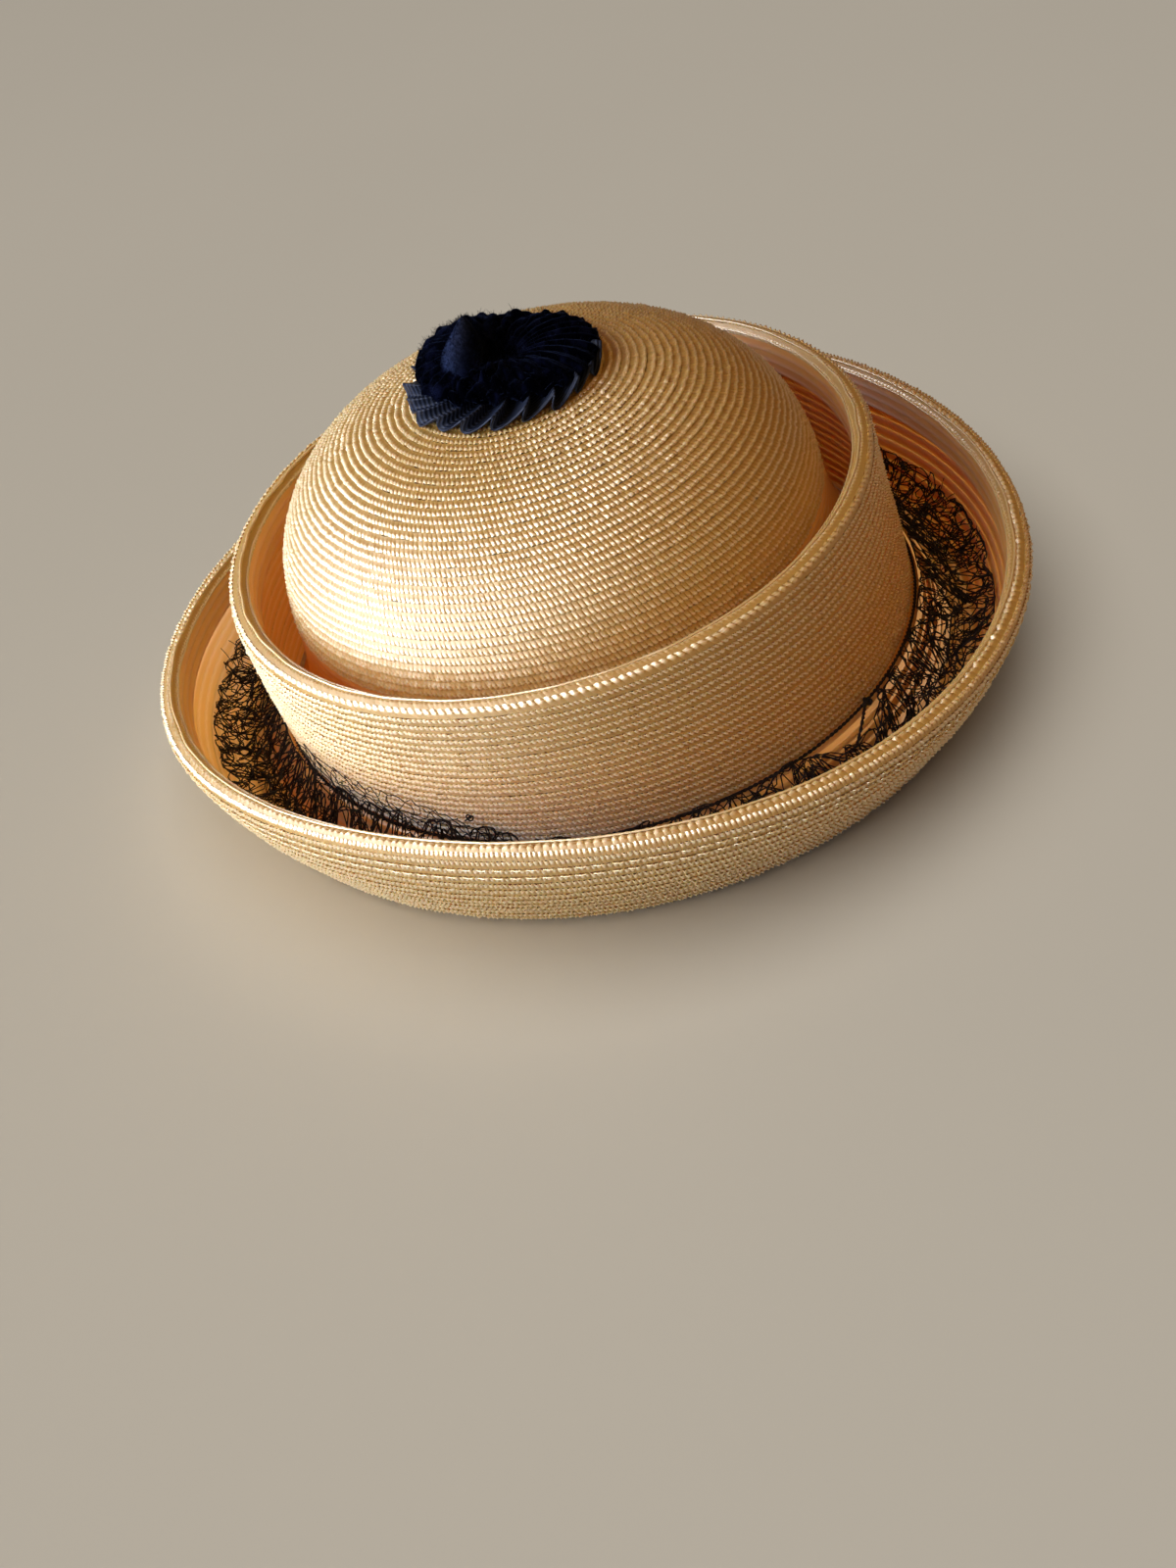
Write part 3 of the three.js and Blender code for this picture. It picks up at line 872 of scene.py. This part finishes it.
    def light(self, name, stage):
        """Square area light that faces the hat, kept off some pieces or to some alone."""
        (right, near, up), size, colour = self.LIGHTS[name]
        data = bpy.data.lights.new(name, "AREA")
        data.color = colour
        data.size = size
        data.energy = getattr(stage, name + "_power")
        data.use_shadow = name not in self.SHADOWLESS
        obj = bpy.data.objects.new(name, data)
        place = Matrix.Rotation(stage.azimuth, 3, "Z") @ Vector((right, -near, up))
        aim = Vector((0, 0, self.AIM_HEIGHT)) - place
        obj.location = place
        obj.rotation_euler = aim.to_track_quat("-Z", "Y").to_euler()
        obj.visible_diffuse = name not in self.GLOSS_ALONE
        obj.visible_glossy = name not in self.MATT_ALONE
        bpy.context.scene.collection.objects.link(obj)
        lit = bpy.data.collections.new(name + "_link")
        for piece in self.KEPT_OFF.get(name) or self.KEPT_TO[name]:
            lit.objects.link(bpy.data.objects[piece])
        for member in lit.collection_objects:
            member.light_linking.link_state = "EXCLUDE" if name in self.KEPT_OFF else "INCLUDE"
        obj.light_linking.receiver_collection = lit


def braid_piece(name, node, *rows, **span):
    """Piece of rows of braid that stands for a straw wall."""
    return braid(*rows, **span).piece(name, "sewn_straw", "straw", node, strand_sides=len(ROW_SECTION))


def always(look):
    """Looks of rows that are all alike."""
    return lambda section, row: look


def in_turn(looks):
    """Looks of rows one after another, with the last for all that follow."""
    return lambda section, row: looks[min(row, len(looks) - 1)]


def roll_start(path, edge):
    """Distance along a face at which its rolled edge begins."""
    return path.at[np.argmax(path.rows[:, 1] > edge[1] - STRAW_WALL / 2 - ROLL_RADIUS)]


class HAT_OT_crown(bpy.types.Operator):
    """Domed crown, sewn from the top down"""

    bl_idname = "breton_hat.crown"
    bl_label = "Crown"
    HIDDEN_RADIUS = 21.5
    MOAT_DEPTH = 53
    SLANT_SHARE = 0.4

    def execute(self, context):
        path = WallPath(CROWN_FACE, side=-1)
        straw = settings().straw
        slant = self.SLANT_SHARE * straw.slant / MM
        braid_piece("crown_braid", "crown", path, np.random.default_rng(11), slant, self.look, straw.row)
        return {"FINISHED"}

    def look(self, section, row):
        """Full strands where the dome shows."""
        shown = section[0] > self.HIDDEN_RADIUS and section[1] > self.MOAT_DEPTH
        return FULL if shown else PLAIN


class HAT_OT_cuff(bpy.types.Operator):
    """Tall cuff round the crown, with its rolled edge and hem"""

    bl_idname = "breton_hat.cuff"
    bl_label = "Cuff"
    WAVER = 0.14
    HEM_FOOT = (95.1, 62.0, 0, 0, 0)

    def execute(self, context):
        path = WallPath(list(CUFF_MIDDLE) + rolled(CUFF_ROLL, CUFF_HEM), side=1, offset=STRAW_WALL / 2)
        inside = WallPath(CUFF_MIDDLE + (self.HEM_FOOT,), side=-1, offset=STRAW_WALL / 2)
        straw = settings().straw
        width = straw.edge_row
        top = roll_start(path, CUFF_ROLL)
        rng = np.random.default_rng(12)
        sewn = (rng, -straw.slant / MM)
        braid_piece("cuff_braid", "cuff", path, *sewn, always(FULL), straw.row, last=top)
        braid_piece("cuff_edge", "cuff", path, *sewn, in_turn(CUFF_EDGE_LOOKS), width, first=top)
        braid_piece("cuff_inside", "cuff", inside, *sewn, always(PLAIN), width, depth_share=LINING_DEPTH)
        lines = beaded_lines(path, top + np.array(EDGE_LINES) * width / MM, self.WAVER, rng)
        lines.piece("cuff_lines", "sewn_straw", "straw", "cuff")
        return {"FINISHED"}


class HAT_OT_brim(bpy.types.Operator):
    """Turned-up brim: its wall, its rolled edge and the face in the trough"""

    bl_idname = "breton_hat.brim"
    bl_label = "Brim"
    UNDERSIDE = 112
    WAVER = 0.12
    SLANT_SHARE = 0.2

    def execute(self, context):
        path = WallPath(list(BRIM_MIDDLE) + rolled(BRIM_ROLL, BRIM_HEM), side=1, offset=STRAW_WALL / 2)
        inside = WallPath(BRIM_MIDDLE[1:], side=-1, offset=STRAW_WALL / 2)
        straw = settings().straw
        width = straw.edge_row
        top = roll_start(path, BRIM_ROLL)
        rng = np.random.default_rng(13)
        sewn = (rng, -self.SLANT_SHARE * straw.slant / MM)
        braid_piece("brim_braid", "brim", path, *sewn, self.wall_look, width, last=top)
        braid_piece("brim_edge", "brim", path, *sewn, in_turn(BRIM_EDGE_LOOKS), width, first=top)
        braid_piece("brim_inside", "brim", inside, *sewn, always(PLAIN), width, depth_share=LINING_DEPTH)
        lines = beaded_lines(path, top + np.array(EDGE_LINES) * (width / MM), self.WAVER, rng)
        lines.piece("brim_lines", "sewn_straw", "straw", "brim")
        threads = stitches(path, top - np.array(STITCH_ROWS) * (width / MM), rng)
        threads.piece("brim_stitches", "sewn_straw", "straw", "brim")
        return {"FINISHED"}

    def wall_look(self, section, row):
        """Full strands outside the foot, and a plain underside."""
        return FULL if section[0] > self.UNDERSIDE else PLAIN


def cuff_section(height):
    """Sections of the cuff's wall at heights."""
    return table_at(height, [section[1] for section in CUFF_MIDDLE], CUFF_MIDDLE)


class HAT_OT_veil(bpy.types.Operator):
    """Net veil gathered in the trough, with its flap up the cuff"""

    bl_idname = "breton_hat.veil"
    bl_label = "Veil"
    LAYERS = 2
    STEPS = 5
    FLAP = (math.radians(-128), math.radians(-80))
    FLAP_LINES = 6
    FLAP_MESHES = 18
    FLAP_FOOT, FLAP_TOP = 16.5, 40.0
    FLAP_PEAK = 0.6
    # Knot on the flap's edge: turn from the front in degrees, height, size
    KNOT = (-86.0, 27.0, 0.42)
    WISPS = 90
    # Threads of the flap, the wisps and the knot, as shares of the net's thread
    FLAP_THREAD, WISP_THREAD, KNOT_THREAD = 0.36, 0.32, 0.6
    KNOT_LIFT = 1.4
    # Crumple of the net as a share of a mesh and of its width, coarse and fine, and past its edge
    MESH_UNEVEN = 0.14
    CRUMPLE, FINE_CRUMPLE = 0.12, 0.03
    PAST_EDGE = 1.08
    # Loft over the trough as a share of the sections': mean, crumple, slope across, range
    LOFT, LOFT_CRUMPLE, LOFT_SLOPE = 0.62, 0.26, 0.3
    LOFT_RANGE = (0.12, 1.15)
    CLEAR, LEAST_CLEAR, FINE_HEIGHT = 0.5, 0.4, 0.3
    # Sway along the trough in radians, coarse and fine
    SWAY, FINE_SWAY = 0.017, 0.004
    # Turn from the front in degrees, how much higher the net is heaped against the cuff
    HEAP = (
        (-180, 0.0), (-135, 1.0), (-115, 4.5), (-95, 6.5), (-84, 5.0), (-76, 2.0), (-68, 0.0), (180, 0.0),
    )
    # Bare strip beside the cord: turn from the front in degrees, share of the width, breadth
    BARE = (-22, 0.26, 0.006)

    def execute(self, context):
        veil = settings().veil
        rng = np.random.default_rng(21)
        shells = Shells()
        lines, knot = self.gathered(veil, rng)
        thread = veil.thread / MM
        tubes(shells, lines, thread / 2 * (1 + 0.5 * knot), closed=True)
        tubes(shells, self.flap(rng), self.FLAP_THREAD * thread, closed=False)
        tubes(shells, self.wisps(rng), self.WISP_THREAD * thread, closed=False)
        tubes(shells, self.knot(), self.KNOT_THREAD * thread, closed=True)
        obj = shells.piece("veil_net", "net_thread", "net", "veil")
        return {"FINISHED"}

    def gathered(self, veil, rng):
        """Threads of a net, folded to and fro across the trough and crumpled by ripples.

        Thread n waves by half a mesh either way, against its neighbours, and is knotted to
        them at the tops of the waves. Returns the threads and how near each point is to a knot.
        """
        line, step = np.meshgrid(np.arange(veil.lines), np.arange(veil.meshes * self.STEPS), indexing="ij")
        along = step / step.shape[1]
        wave = np.sin(2 * math.pi * step / self.STEPS + math.pi * line)
        uneven = 0.5 + self.MESH_UNEVEN * ripple(rng, line, along, (20, 70))
        across = (line + 0.5 + wave * uneven) / veil.lines
        place = np.abs((across * self.LAYERS) % 2 - 1)
        place = place + self.CRUMPLE * ripple(rng, across, along, (14, 60))
        place = place + self.FINE_CRUMPLE * ripple(rng, across, along, (60, 130))
        swing = np.cos(2 * math.pi * along - math.radians(self.BARE[0]))
        bare = self.BARE[1] * np.exp((swing - 1) / self.BARE[2])
        place = bare + (1 - bare) * np.clip(place, 0.0, self.PAST_EDGE)
        section = evenly_at(place, NET_SECTIONS)
        floor = read_table(TROUGH_FLOOR, section[..., 0])
        loft = self.LOFT + self.LOFT_CRUMPLE * ripple(rng, across, along, (16, 60))
        loft = np.clip(loft + self.LOFT_SLOPE * (across - 0.5), *self.LOFT_RANGE)
        section[..., 1] = floor + self.CLEAR + (section[..., 1] - floor) * loft
        section[..., 1] += self.FINE_HEIGHT * ripple(rng, across, along, (60, 140))
        section[..., 1] = np.maximum(section[..., 1], floor + self.LEAST_CLEAR)
        turn = (360 * along + 180) % 360 - 180
        section[..., 1] += read_table(self.HEAP, turn) * np.clip(1 - place, 0, 1)
        angle = 2 * math.pi * along + self.SWAY * ripple(rng, across, along, (20, 80))
        angle = angle + self.FINE_SWAY * ripple(rng, line, along, (60, 140))
        return ring_point(section, angle), np.abs(wave) ** 8

    def flap(self, rng):
        """Loose corner of the net up the cuff's wall: rows of waves under one arched edge."""
        steps = self.FLAP_MESHES * self.STEPS
        line, step = np.meshgrid(np.arange(self.FLAP_LINES), np.arange(steps), indexing="ij")
        along = step / (steps - 1)
        wave = np.sin(2 * math.pi * step / self.STEPS + math.pi * line)
        up = (line + 0.5 + 0.5 * wave) / self.FLAP_LINES
        arch = np.sin(math.pi * along**self.FLAP_PEAK) ** 0.8 * (0.85 + 0.15 * np.sin(9 * along + 1))
        height = self.FLAP_FOOT + (self.FLAP_TOP - self.FLAP_FOOT) * up * arch
        height = height + 0.5 * ripple(rng, up, along, (2, 9))
        angle = self.FLAP[0] + (self.FLAP[1] - self.FLAP[0]) * along + 0.008 * ripple(rng, up, along, (2, 9))
        section = cuff_section(height)
        section[..., 0] += STRAW_WALL / 2 + 1.0 + 0.5 * ripple(rng, up, along, (2, 9)) ** 2
        section[..., 1] = height
        return ring_point(section, angle)

    def knot(self):
        """Knot in the flap's thread: a trefoil, its three loops turned about one point of the cuff."""
        turn, height, size = self.KNOT
        section = cuff_section(height)
        section[0] += STRAW_WALL / 2 + self.KNOT_LIFT
        section[1] = height
        return (ring_point(section, math.radians(turn)) + size * trefoil())[None]

    def wisps(self, rng):
        """Loose threads along the net's outer edge: they start in the net, rise along the wall and bend."""
        bend = np.linspace(0, 1, 8)
        count = self.WISPS
        start = rng.uniform(-math.pi, math.pi, (count, 1))
        reach = rng.normal(0, 0.03, (count, 1))
        curl = rng.normal(0, 0.02, (count, 1))
        rise = rng.uniform(1.5, 5.5, (count, 1))
        section = np.tile(np.array(NET_SECTIONS[-1]), (count, 8, 1))
        section[..., 0] += -2.2 + 0.55 * rise * bend
        section[..., 1] += -1.2 + rise * bend
        return ring_point(section, start + reach * bend + curl * bend**2)


class HAT_OT_veil_cord(bpy.types.Operator):
    """Draw cord round the cuff's foot, two plies twisted, with a knot and its loose end"""

    bl_idname = "breton_hat.veil_cord"
    bl_label = "Veil cord"
    PLIES = 2
    TURNS = 190
    STEPS = 7
    # Loose end: radius, turn from the front in degrees, height
    TAIL = ((98.6, -17.0, 17.6), (100.0, -18.6, 18.6), (102.6, -21.2, 18.4), (105.6, -24.6, 16.4))
    TAIL_STEPS = 60
    CLEAR = 0.3

    def execute(self, context):
        radius = settings().veil.cord / MM / 2
        shells = Shells()
        steps = self.TURNS * self.STEPS
        along = np.arange(steps) / steps
        reach = CUFF_MIDDLE[0][0] + STRAW_WALL / 2 + self.CLEAR + radius
        section = (reach, LEDGE + self.CLEAR + radius, HEAD_OVAL, 0, HEAD_FORWARD)
        ring = np.tile(np.array(section), (self.PLIES, steps, 1))
        ply = np.arange(self.PLIES)[:, None] / self.PLIES
        twist = 2 * math.pi * (self.TURNS * along + ply)
        ring[..., 0] += radius / 2 * np.cos(twist)
        ring[..., 1] += radius / 2 * np.sin(twist)
        tubes(shells, ring_point(ring, 2 * math.pi * along), radius / 2, closed=True, sides=5)
        tubes(shells, self.tail(radius), radius / 2, closed=False, sides=5)
        tubes(shells, self.knot(radius), radius * 0.8, closed=True, sides=5)
        shells.piece("draw_cord", "net_thread", "cord", "veil_cord")
        return {"FINISHED"}

    def tail(self, radius):
        """Loose end: two plies twisted about a smooth line through its points."""
        place = np.linspace(0, 1, self.TAIL_STEPS)
        reach, turn, height = evenly_at(place, self.TAIL).T
        ply = np.arange(self.PLIES)[:, None] / self.PLIES
        twist = 2 * math.pi * (5 * place + ply)
        angle = np.radians(turn)
        reach = reach + radius / 2 * np.cos(twist)
        height = height + radius / 2 * np.sin(twist)
        section = np.stack(np.broadcast_arrays(reach, height, HEAD_OVAL, 0.0, HEAD_FORWARD), -1)
        return ring_point(section, np.broadcast_to(angle, reach.shape))

    def knot(self, radius):
        """Overhand knot: a trefoil, its three loops turned about the loose end's start."""
        reach, angle, height = self.TAIL[0]
        middle = ring_point(np.array((reach, height, HEAD_OVAL, 0, HEAD_FORWARD)), math.radians(angle))
        return (middle + 0.75 * radius * trefoil())[None]


def crown_height(reach):
    """Height of the crown's face at a distance from its axis."""
    table = np.array(CROWN_FACE)
    return np.interp(reach, table[:, 0], table[:, 1])


def cloth_shell(shells, middle, thickness, uvs=None):
    """Closed shell about a ring-shaped sheet: columns by rows by 3, thickened along its normals."""
    columns, rows = middle.shape[:2]
    around = np.roll(middle, -1, 0) - np.roll(middle, 1, 0)
    normal = unit(np.cross(np.gradient(middle, axis=1), around))
    over = middle + normal * thickness / 2
    under = middle - normal * thickness / 2
    loop = np.concatenate([over, under[:, ::-1]], 1)
    quads = torus_quads(columns, 2 * rows)
    corner = None
    if uvs is not None:
        both = np.concatenate([uvs, uvs[:, ::-1]], 1)
        corner = both.reshape(-1, 2)[quads]
    shells.add(loop, quads, None, corner)
    return over, normal


def pile_piece(name, node, face, normal, count, rng):
    """Piece of pile: straight fibres from random points of a face, along its normal and a little aside."""
    face, normal = face.reshape(-1, 3), normal.reshape(-1, 3)
    pick = rng.integers(0, len(face), count)
    root = face[pick] + PILE_SPREAD * rng.normal(size=(count, 3))
    way = normal[pick] + PILE_LEAN * rng.normal(size=(count, 3))
    tip = root + rng.uniform(*PILE_LENGTH, (count, 1)) * way
    shells = Shells()
    tubes(shells, np.stack([root - PILE_ROOT * normal[pick], tip], 1), PILE_RADIUS, closed=False)
    shells.piece(name, "cut_velvet", "velvet", node)


class HAT_OT_ribbon(bpy.types.Operator):
    """Ring of knife pleats in ribbed ribbon"""

    bl_idname = "breton_hat.ribbon"
    bl_label = "Rosette ribbon"
    COLUMNS = 24
    ROWS = 10
    LEAN = 0.55
    ROUND = -0.1
    SWIRL = -0.3
    CLOTH = 0.4

    def execute(self, context):
        shells = Shells()
        middle, uvs = self.pleated(settings().rosette, np.random.default_rng(41))
        cloth_shell(shells, middle, self.CLOTH, uvs)
        obj = shells.piece("ribbon_pleats", "ribbed_ribbon", "ribbon", "rosette_ribbon")
        return {"FINISHED"}

    def pleated(self, rosette, rng):
        """Pleat k at phase p: turned k + p - round sin 2 pi p + lean h pleats, swirled outwards.

        Its height is h = (1 - cos 2 pi p) / 2 of a pleat's over the crown, and grows outwards.
        """
        phase = np.arange(rosette.pleats * self.COLUMNS) / self.COLUMNS
        rise = (0.5 - 0.5 * np.cos(2 * math.pi * phase))[:, None]
        share = np.linspace(0, 1, self.ROWS)
        uneven = ripple(rng, 0.0, phase / rosette.pleats, (5, 24))[:, None]
        inner, outer = rosette.ribbon_inner / MM, rosette.ribbon_outer / MM
        reach = inner + (outer - inner + 0.5 * uneven) * share * (0.97 + 0.03 * rise)
        bulge = self.ROUND * np.sin(2 * math.pi * phase)[:, None]
        turn = 2 * math.pi * (phase[:, None] + (self.LEAN * rise - bulge) * share**0.5) / rosette.pleats
        turn = turn + self.SWIRL * share**2
        high = rosette.pleat_height / MM * (0.25 + 0.75 * share) * (1 + 0.12 * uneven)
        height = crown_height(reach) + 0.6 + high * rise
        middle = np.stack([reach * np.sin(turn), -reach * np.cos(turn), height], -1)
        return middle, np.stack(np.broadcast_arrays(phase[:, None], reach), -1)


class HAT_OT_velvet(bpy.types.Operator):
    """Velvet ruffle over the ribbon: a fan of folds on one side, crushed on the other, with its pile"""

    bl_idname = "breton_hat.velvet"
    bl_label = "Rosette velvet"
    # Share of the reach, lift over the crown
    PROFILE = (
        (0.02, 1.0), (0.20, 4.2), (0.32, 6.0), (0.48, 7.2), (0.68, 7.6), (0.84, 7.2), (0.96, 6.0),
        (1.00, 4.8),
    )
    # Turn from the front in degrees, reach
    EDGE = (
        (-180, 24.0), (-130, 22.5), (-100, 21.0), (-70, 20.5), (-40, 23.5), (-15, 26.4), (25, 27.2),
        (70, 26.6), (110, 25.0), (180, 24.0),
    )
    # Turn from the front in degrees, lift more than the profile's
    SWELL = (
        (-180, 3.6), (-165, 2.4), (-140, 0.6), (-100, 0.0), (-40, -0.3), (0, -1.0), (40, -1.8), (90, -1.8),
        (112, -0.6), (135, 2.8), (158, 4.0), (180, 3.6),
    )
    # Turn from the front in degrees, how crushed the velvet is
    CRUSH = ((-180, 0.25), (-135, 0.35), (-95, 1.0), (105, 1.0), (140, 0.35), (180, 0.25))
    FAN = (-25, 80)
    FAN_BLUR = 7
    COLUMNS = 460
    ROWS = 26
    CLOTH = 0.8
    FIBRES = 4500

    def execute(self, context):
        rng = np.random.default_rng(31)
        shells = Shells()
        over, normal = cloth_shell(shells, self.ruffle(settings().rosette, rng), self.CLOTH)
        obj = shells.piece("velvet_ruffle", "cut_velvet", "velvet", "rosette_velvet")
        pile_piece("velvet_pile", "rosette_velvet", over, normal, self.FIBRES, rng)
        return {"FINISHED"}

    def ruffle(self, rosette, rng):
        """Profile turned about the axis: knife folds lift it in the fan, and ripples crush the rest."""
        along = np.arange(self.COLUMNS)[:, None] / self.COLUMNS
        turn = 360 * along - 180
        low, high = self.FAN
        fan = 1 / (1 + np.exp((low - turn) / self.FAN_BLUR)) / (1 + np.exp((turn - high) / self.FAN_BLUR))
        place = np.linspace(0, 1, self.ROWS)
        share, rise = evenly_at(place, self.PROFILE).T
        grow = place**0.7
        phase = 2 * math.pi * rosette.folds * along + 0.5 * ripple(rng, 0.0, along, (1, 5))
        wave = np.sin(phase + 0.8 * np.sin(phase))
        crushed = (1 - fan) * grow * read_table(self.CRUSH, turn)
        reach = read_table(self.EDGE, turn) * share
        reach = reach * (1 + 0.02 * fan * grow * wave) + 0.7 * crushed * ripple(rng, place, along, (7, 22))
        lift = rise + grow * wave * (0.25 + 0.65 * fan)
        lift = lift + crushed * ripple(rng, place, along, (7, 26))
        lift = lift + grow * read_table(self.SWELL, turn)
        angle = np.radians(turn)
        height = crown_height(reach) + np.maximum(lift, 0.8)
        return np.stack(np.broadcast_arrays(reach * np.sin(angle), -reach * np.cos(angle), height), -1)


class HAT_OT_fold(bpy.types.Operator):
    """Raised velvet fold: a wedge that rises to a point behind"""

    bl_idname = "breton_hat.fold"
    bl_label = "Rosette fold"
    BASE_LEFT, BASE_RIGHT = (-11.5, 13.5), (-17.0, -1.5)
    APEX = (5.5, 8.0)
    FOOT, TOP = 109.6, 120.2
    TIP = 1.8
    # Band of painted highlight on the fold's left ridge: its place round the outline and its breadth
    RIDGE_LIGHT_AT = 4.45
    RIDGE_LIGHT_BREADTH = 1.5
    # Place across from right to left, share of the height
    OUTLINE = (
        (-1.0, 0.0), (-1.04, 0.12), (-0.7, 0.42), (-0.2, 0.66), (0.3, 0.9), (0.62, 1.0), (0.86, 0.9),
        (1.0, 0.5), (1.02, 0.0),
    )
    STEPS = 36
    SIDES = 36
    FIBRES = 1800

    def execute(self, context):
        points = self.lofted()
        total = self.STEPS * self.SIDES
        side = np.arange(self.SIDES)
        beyond = (side + 1) % self.SIDES
        last = total - self.SIDES
        start = np.stack([np.full(self.SIDES, total), side, beyond], -1)
        end = np.stack([np.full(self.SIDES, total + 1), last + beyond, last + side], -1)
        quads = tube_quads(self.SIDES, self.STEPS)
        ends = points[[0, -1]].mean(1)
        shells = Shells()
        # Share of the painted highlight at each point, none at the two end points
        lighted = np.append(self.lighted().ravel(), [0, 0])
        faces = np.concatenate([start, end])
        shells.add(np.vstack([points.reshape(-1, 3), ends]), quads, faces, nap=lighted)
        obj = shells.piece("velvet_fold", "cut_velvet", "velvet", "rosette_fold")
        around = np.roll(points, -1, 1) - np.roll(points, 1, 1)
        normal = unit(np.cross(np.gradient(points, axis=0), around))
        outwards = np.sign((normal * (points - points.mean(1, keepdims=True))).sum(-1, keepdims=True))
        rng = np.random.default_rng(32)
        pile_piece("fold_pile", "rosette_fold", points, normal * outwards, self.FIBRES, rng)
        return {"FINISHED"}

    def lighted(self):
        """Painted highlight of the fold: along its ridge on the left, where the light falls, in a band with
        soft sides.
        """
        turn = np.arange(self.SIDES) * len(self.OUTLINE) / self.SIDES
        place = np.linspace(0, 1, self.STEPS)[:, None]
        return np.exp(-((turn - self.RIDGE_LIGHT_AT) ** 2) / self.RIDGE_LIGHT_BREADTH) * np.sin(math.pi * place) ** 0.4

    def lofted(self):
        """Outline carried from base to apex: it narrows to the tip, rises and is rounded at both ends."""
        outline = np.array(self.OUTLINE + self.OUTLINE[:1])
        turn = np.arange(self.SIDES) * (len(outline) - 1) / self.SIDES
        across, up = table_at(turn, np.arange(len(outline)), outline).T
        place = np.linspace(0, 1, self.STEPS)[:, None]
        left, right, apex = (np.array(corner) for corner in (self.BASE_LEFT, self.BASE_RIGHT, self.APEX))
        middle = (left + right) / 2
        aside = (left - right) / np.linalg.norm(left - right)
        half = np.linalg.norm(left - right) / 2
        swell = (1 - np.abs(2 * place - 1) ** 6) ** 0.5 * 0.98 + 0.02
        wide = swell * (self.TIP + (half - self.TIP) * (1 - place) ** 0.8)
        high = swell * (self.TOP - self.FOOT) * (0.25 + 0.75 * place**0.8)
        centre = middle + (apex - middle) * place
        plan = centre[:, None, :] + (wide * across)[..., None] * aside
        return np.concatenate([plan, (self.FOOT + high * up)[..., None]], -1)


MAKERS = (
    HAT_OT_veil_cord,
    HAT_OT_crown,
    HAT_OT_cuff,
    HAT_OT_brim,
    HAT_OT_veil,
    HAT_OT_ribbon,
    HAT_OT_velvet,
    HAT_OT_fold,
    HAT_OT_stage,
)


class HAT_PT_panel(bpy.types.Panel):
    """Sidebar panel with the hat's makers"""

    bl_label = "Breton hat"
    bl_idname = "HAT_PT_panel"
    bl_space_type = "VIEW_3D"
    bl_region_type = "UI"
    bl_category = "Hat"

    def draw(self, context):
        for maker in MAKERS:
            self.layout.operator(maker.bl_idname)


CLASSES = (StrawSettings, VeilSettings, RosetteSettings, StageSettings, HatSettings, *MAKERS, HAT_PT_panel)


def register():
    for cls in CLASSES:
        bpy.utils.register_class(cls)
    bpy.types.Scene.breton_hat = PointerProperty(type=HatSettings)


def unregister():
    del bpy.types.Scene.breton_hat
    for cls in reversed(CLASSES):
        bpy.utils.unregister_class(cls)


def main():
    register()
    for maker in MAKERS:
        group, name = maker.bl_idname.split(".")
        getattr(getattr(bpy.ops, group), name)()


if __name__ == "__main__":
    main()
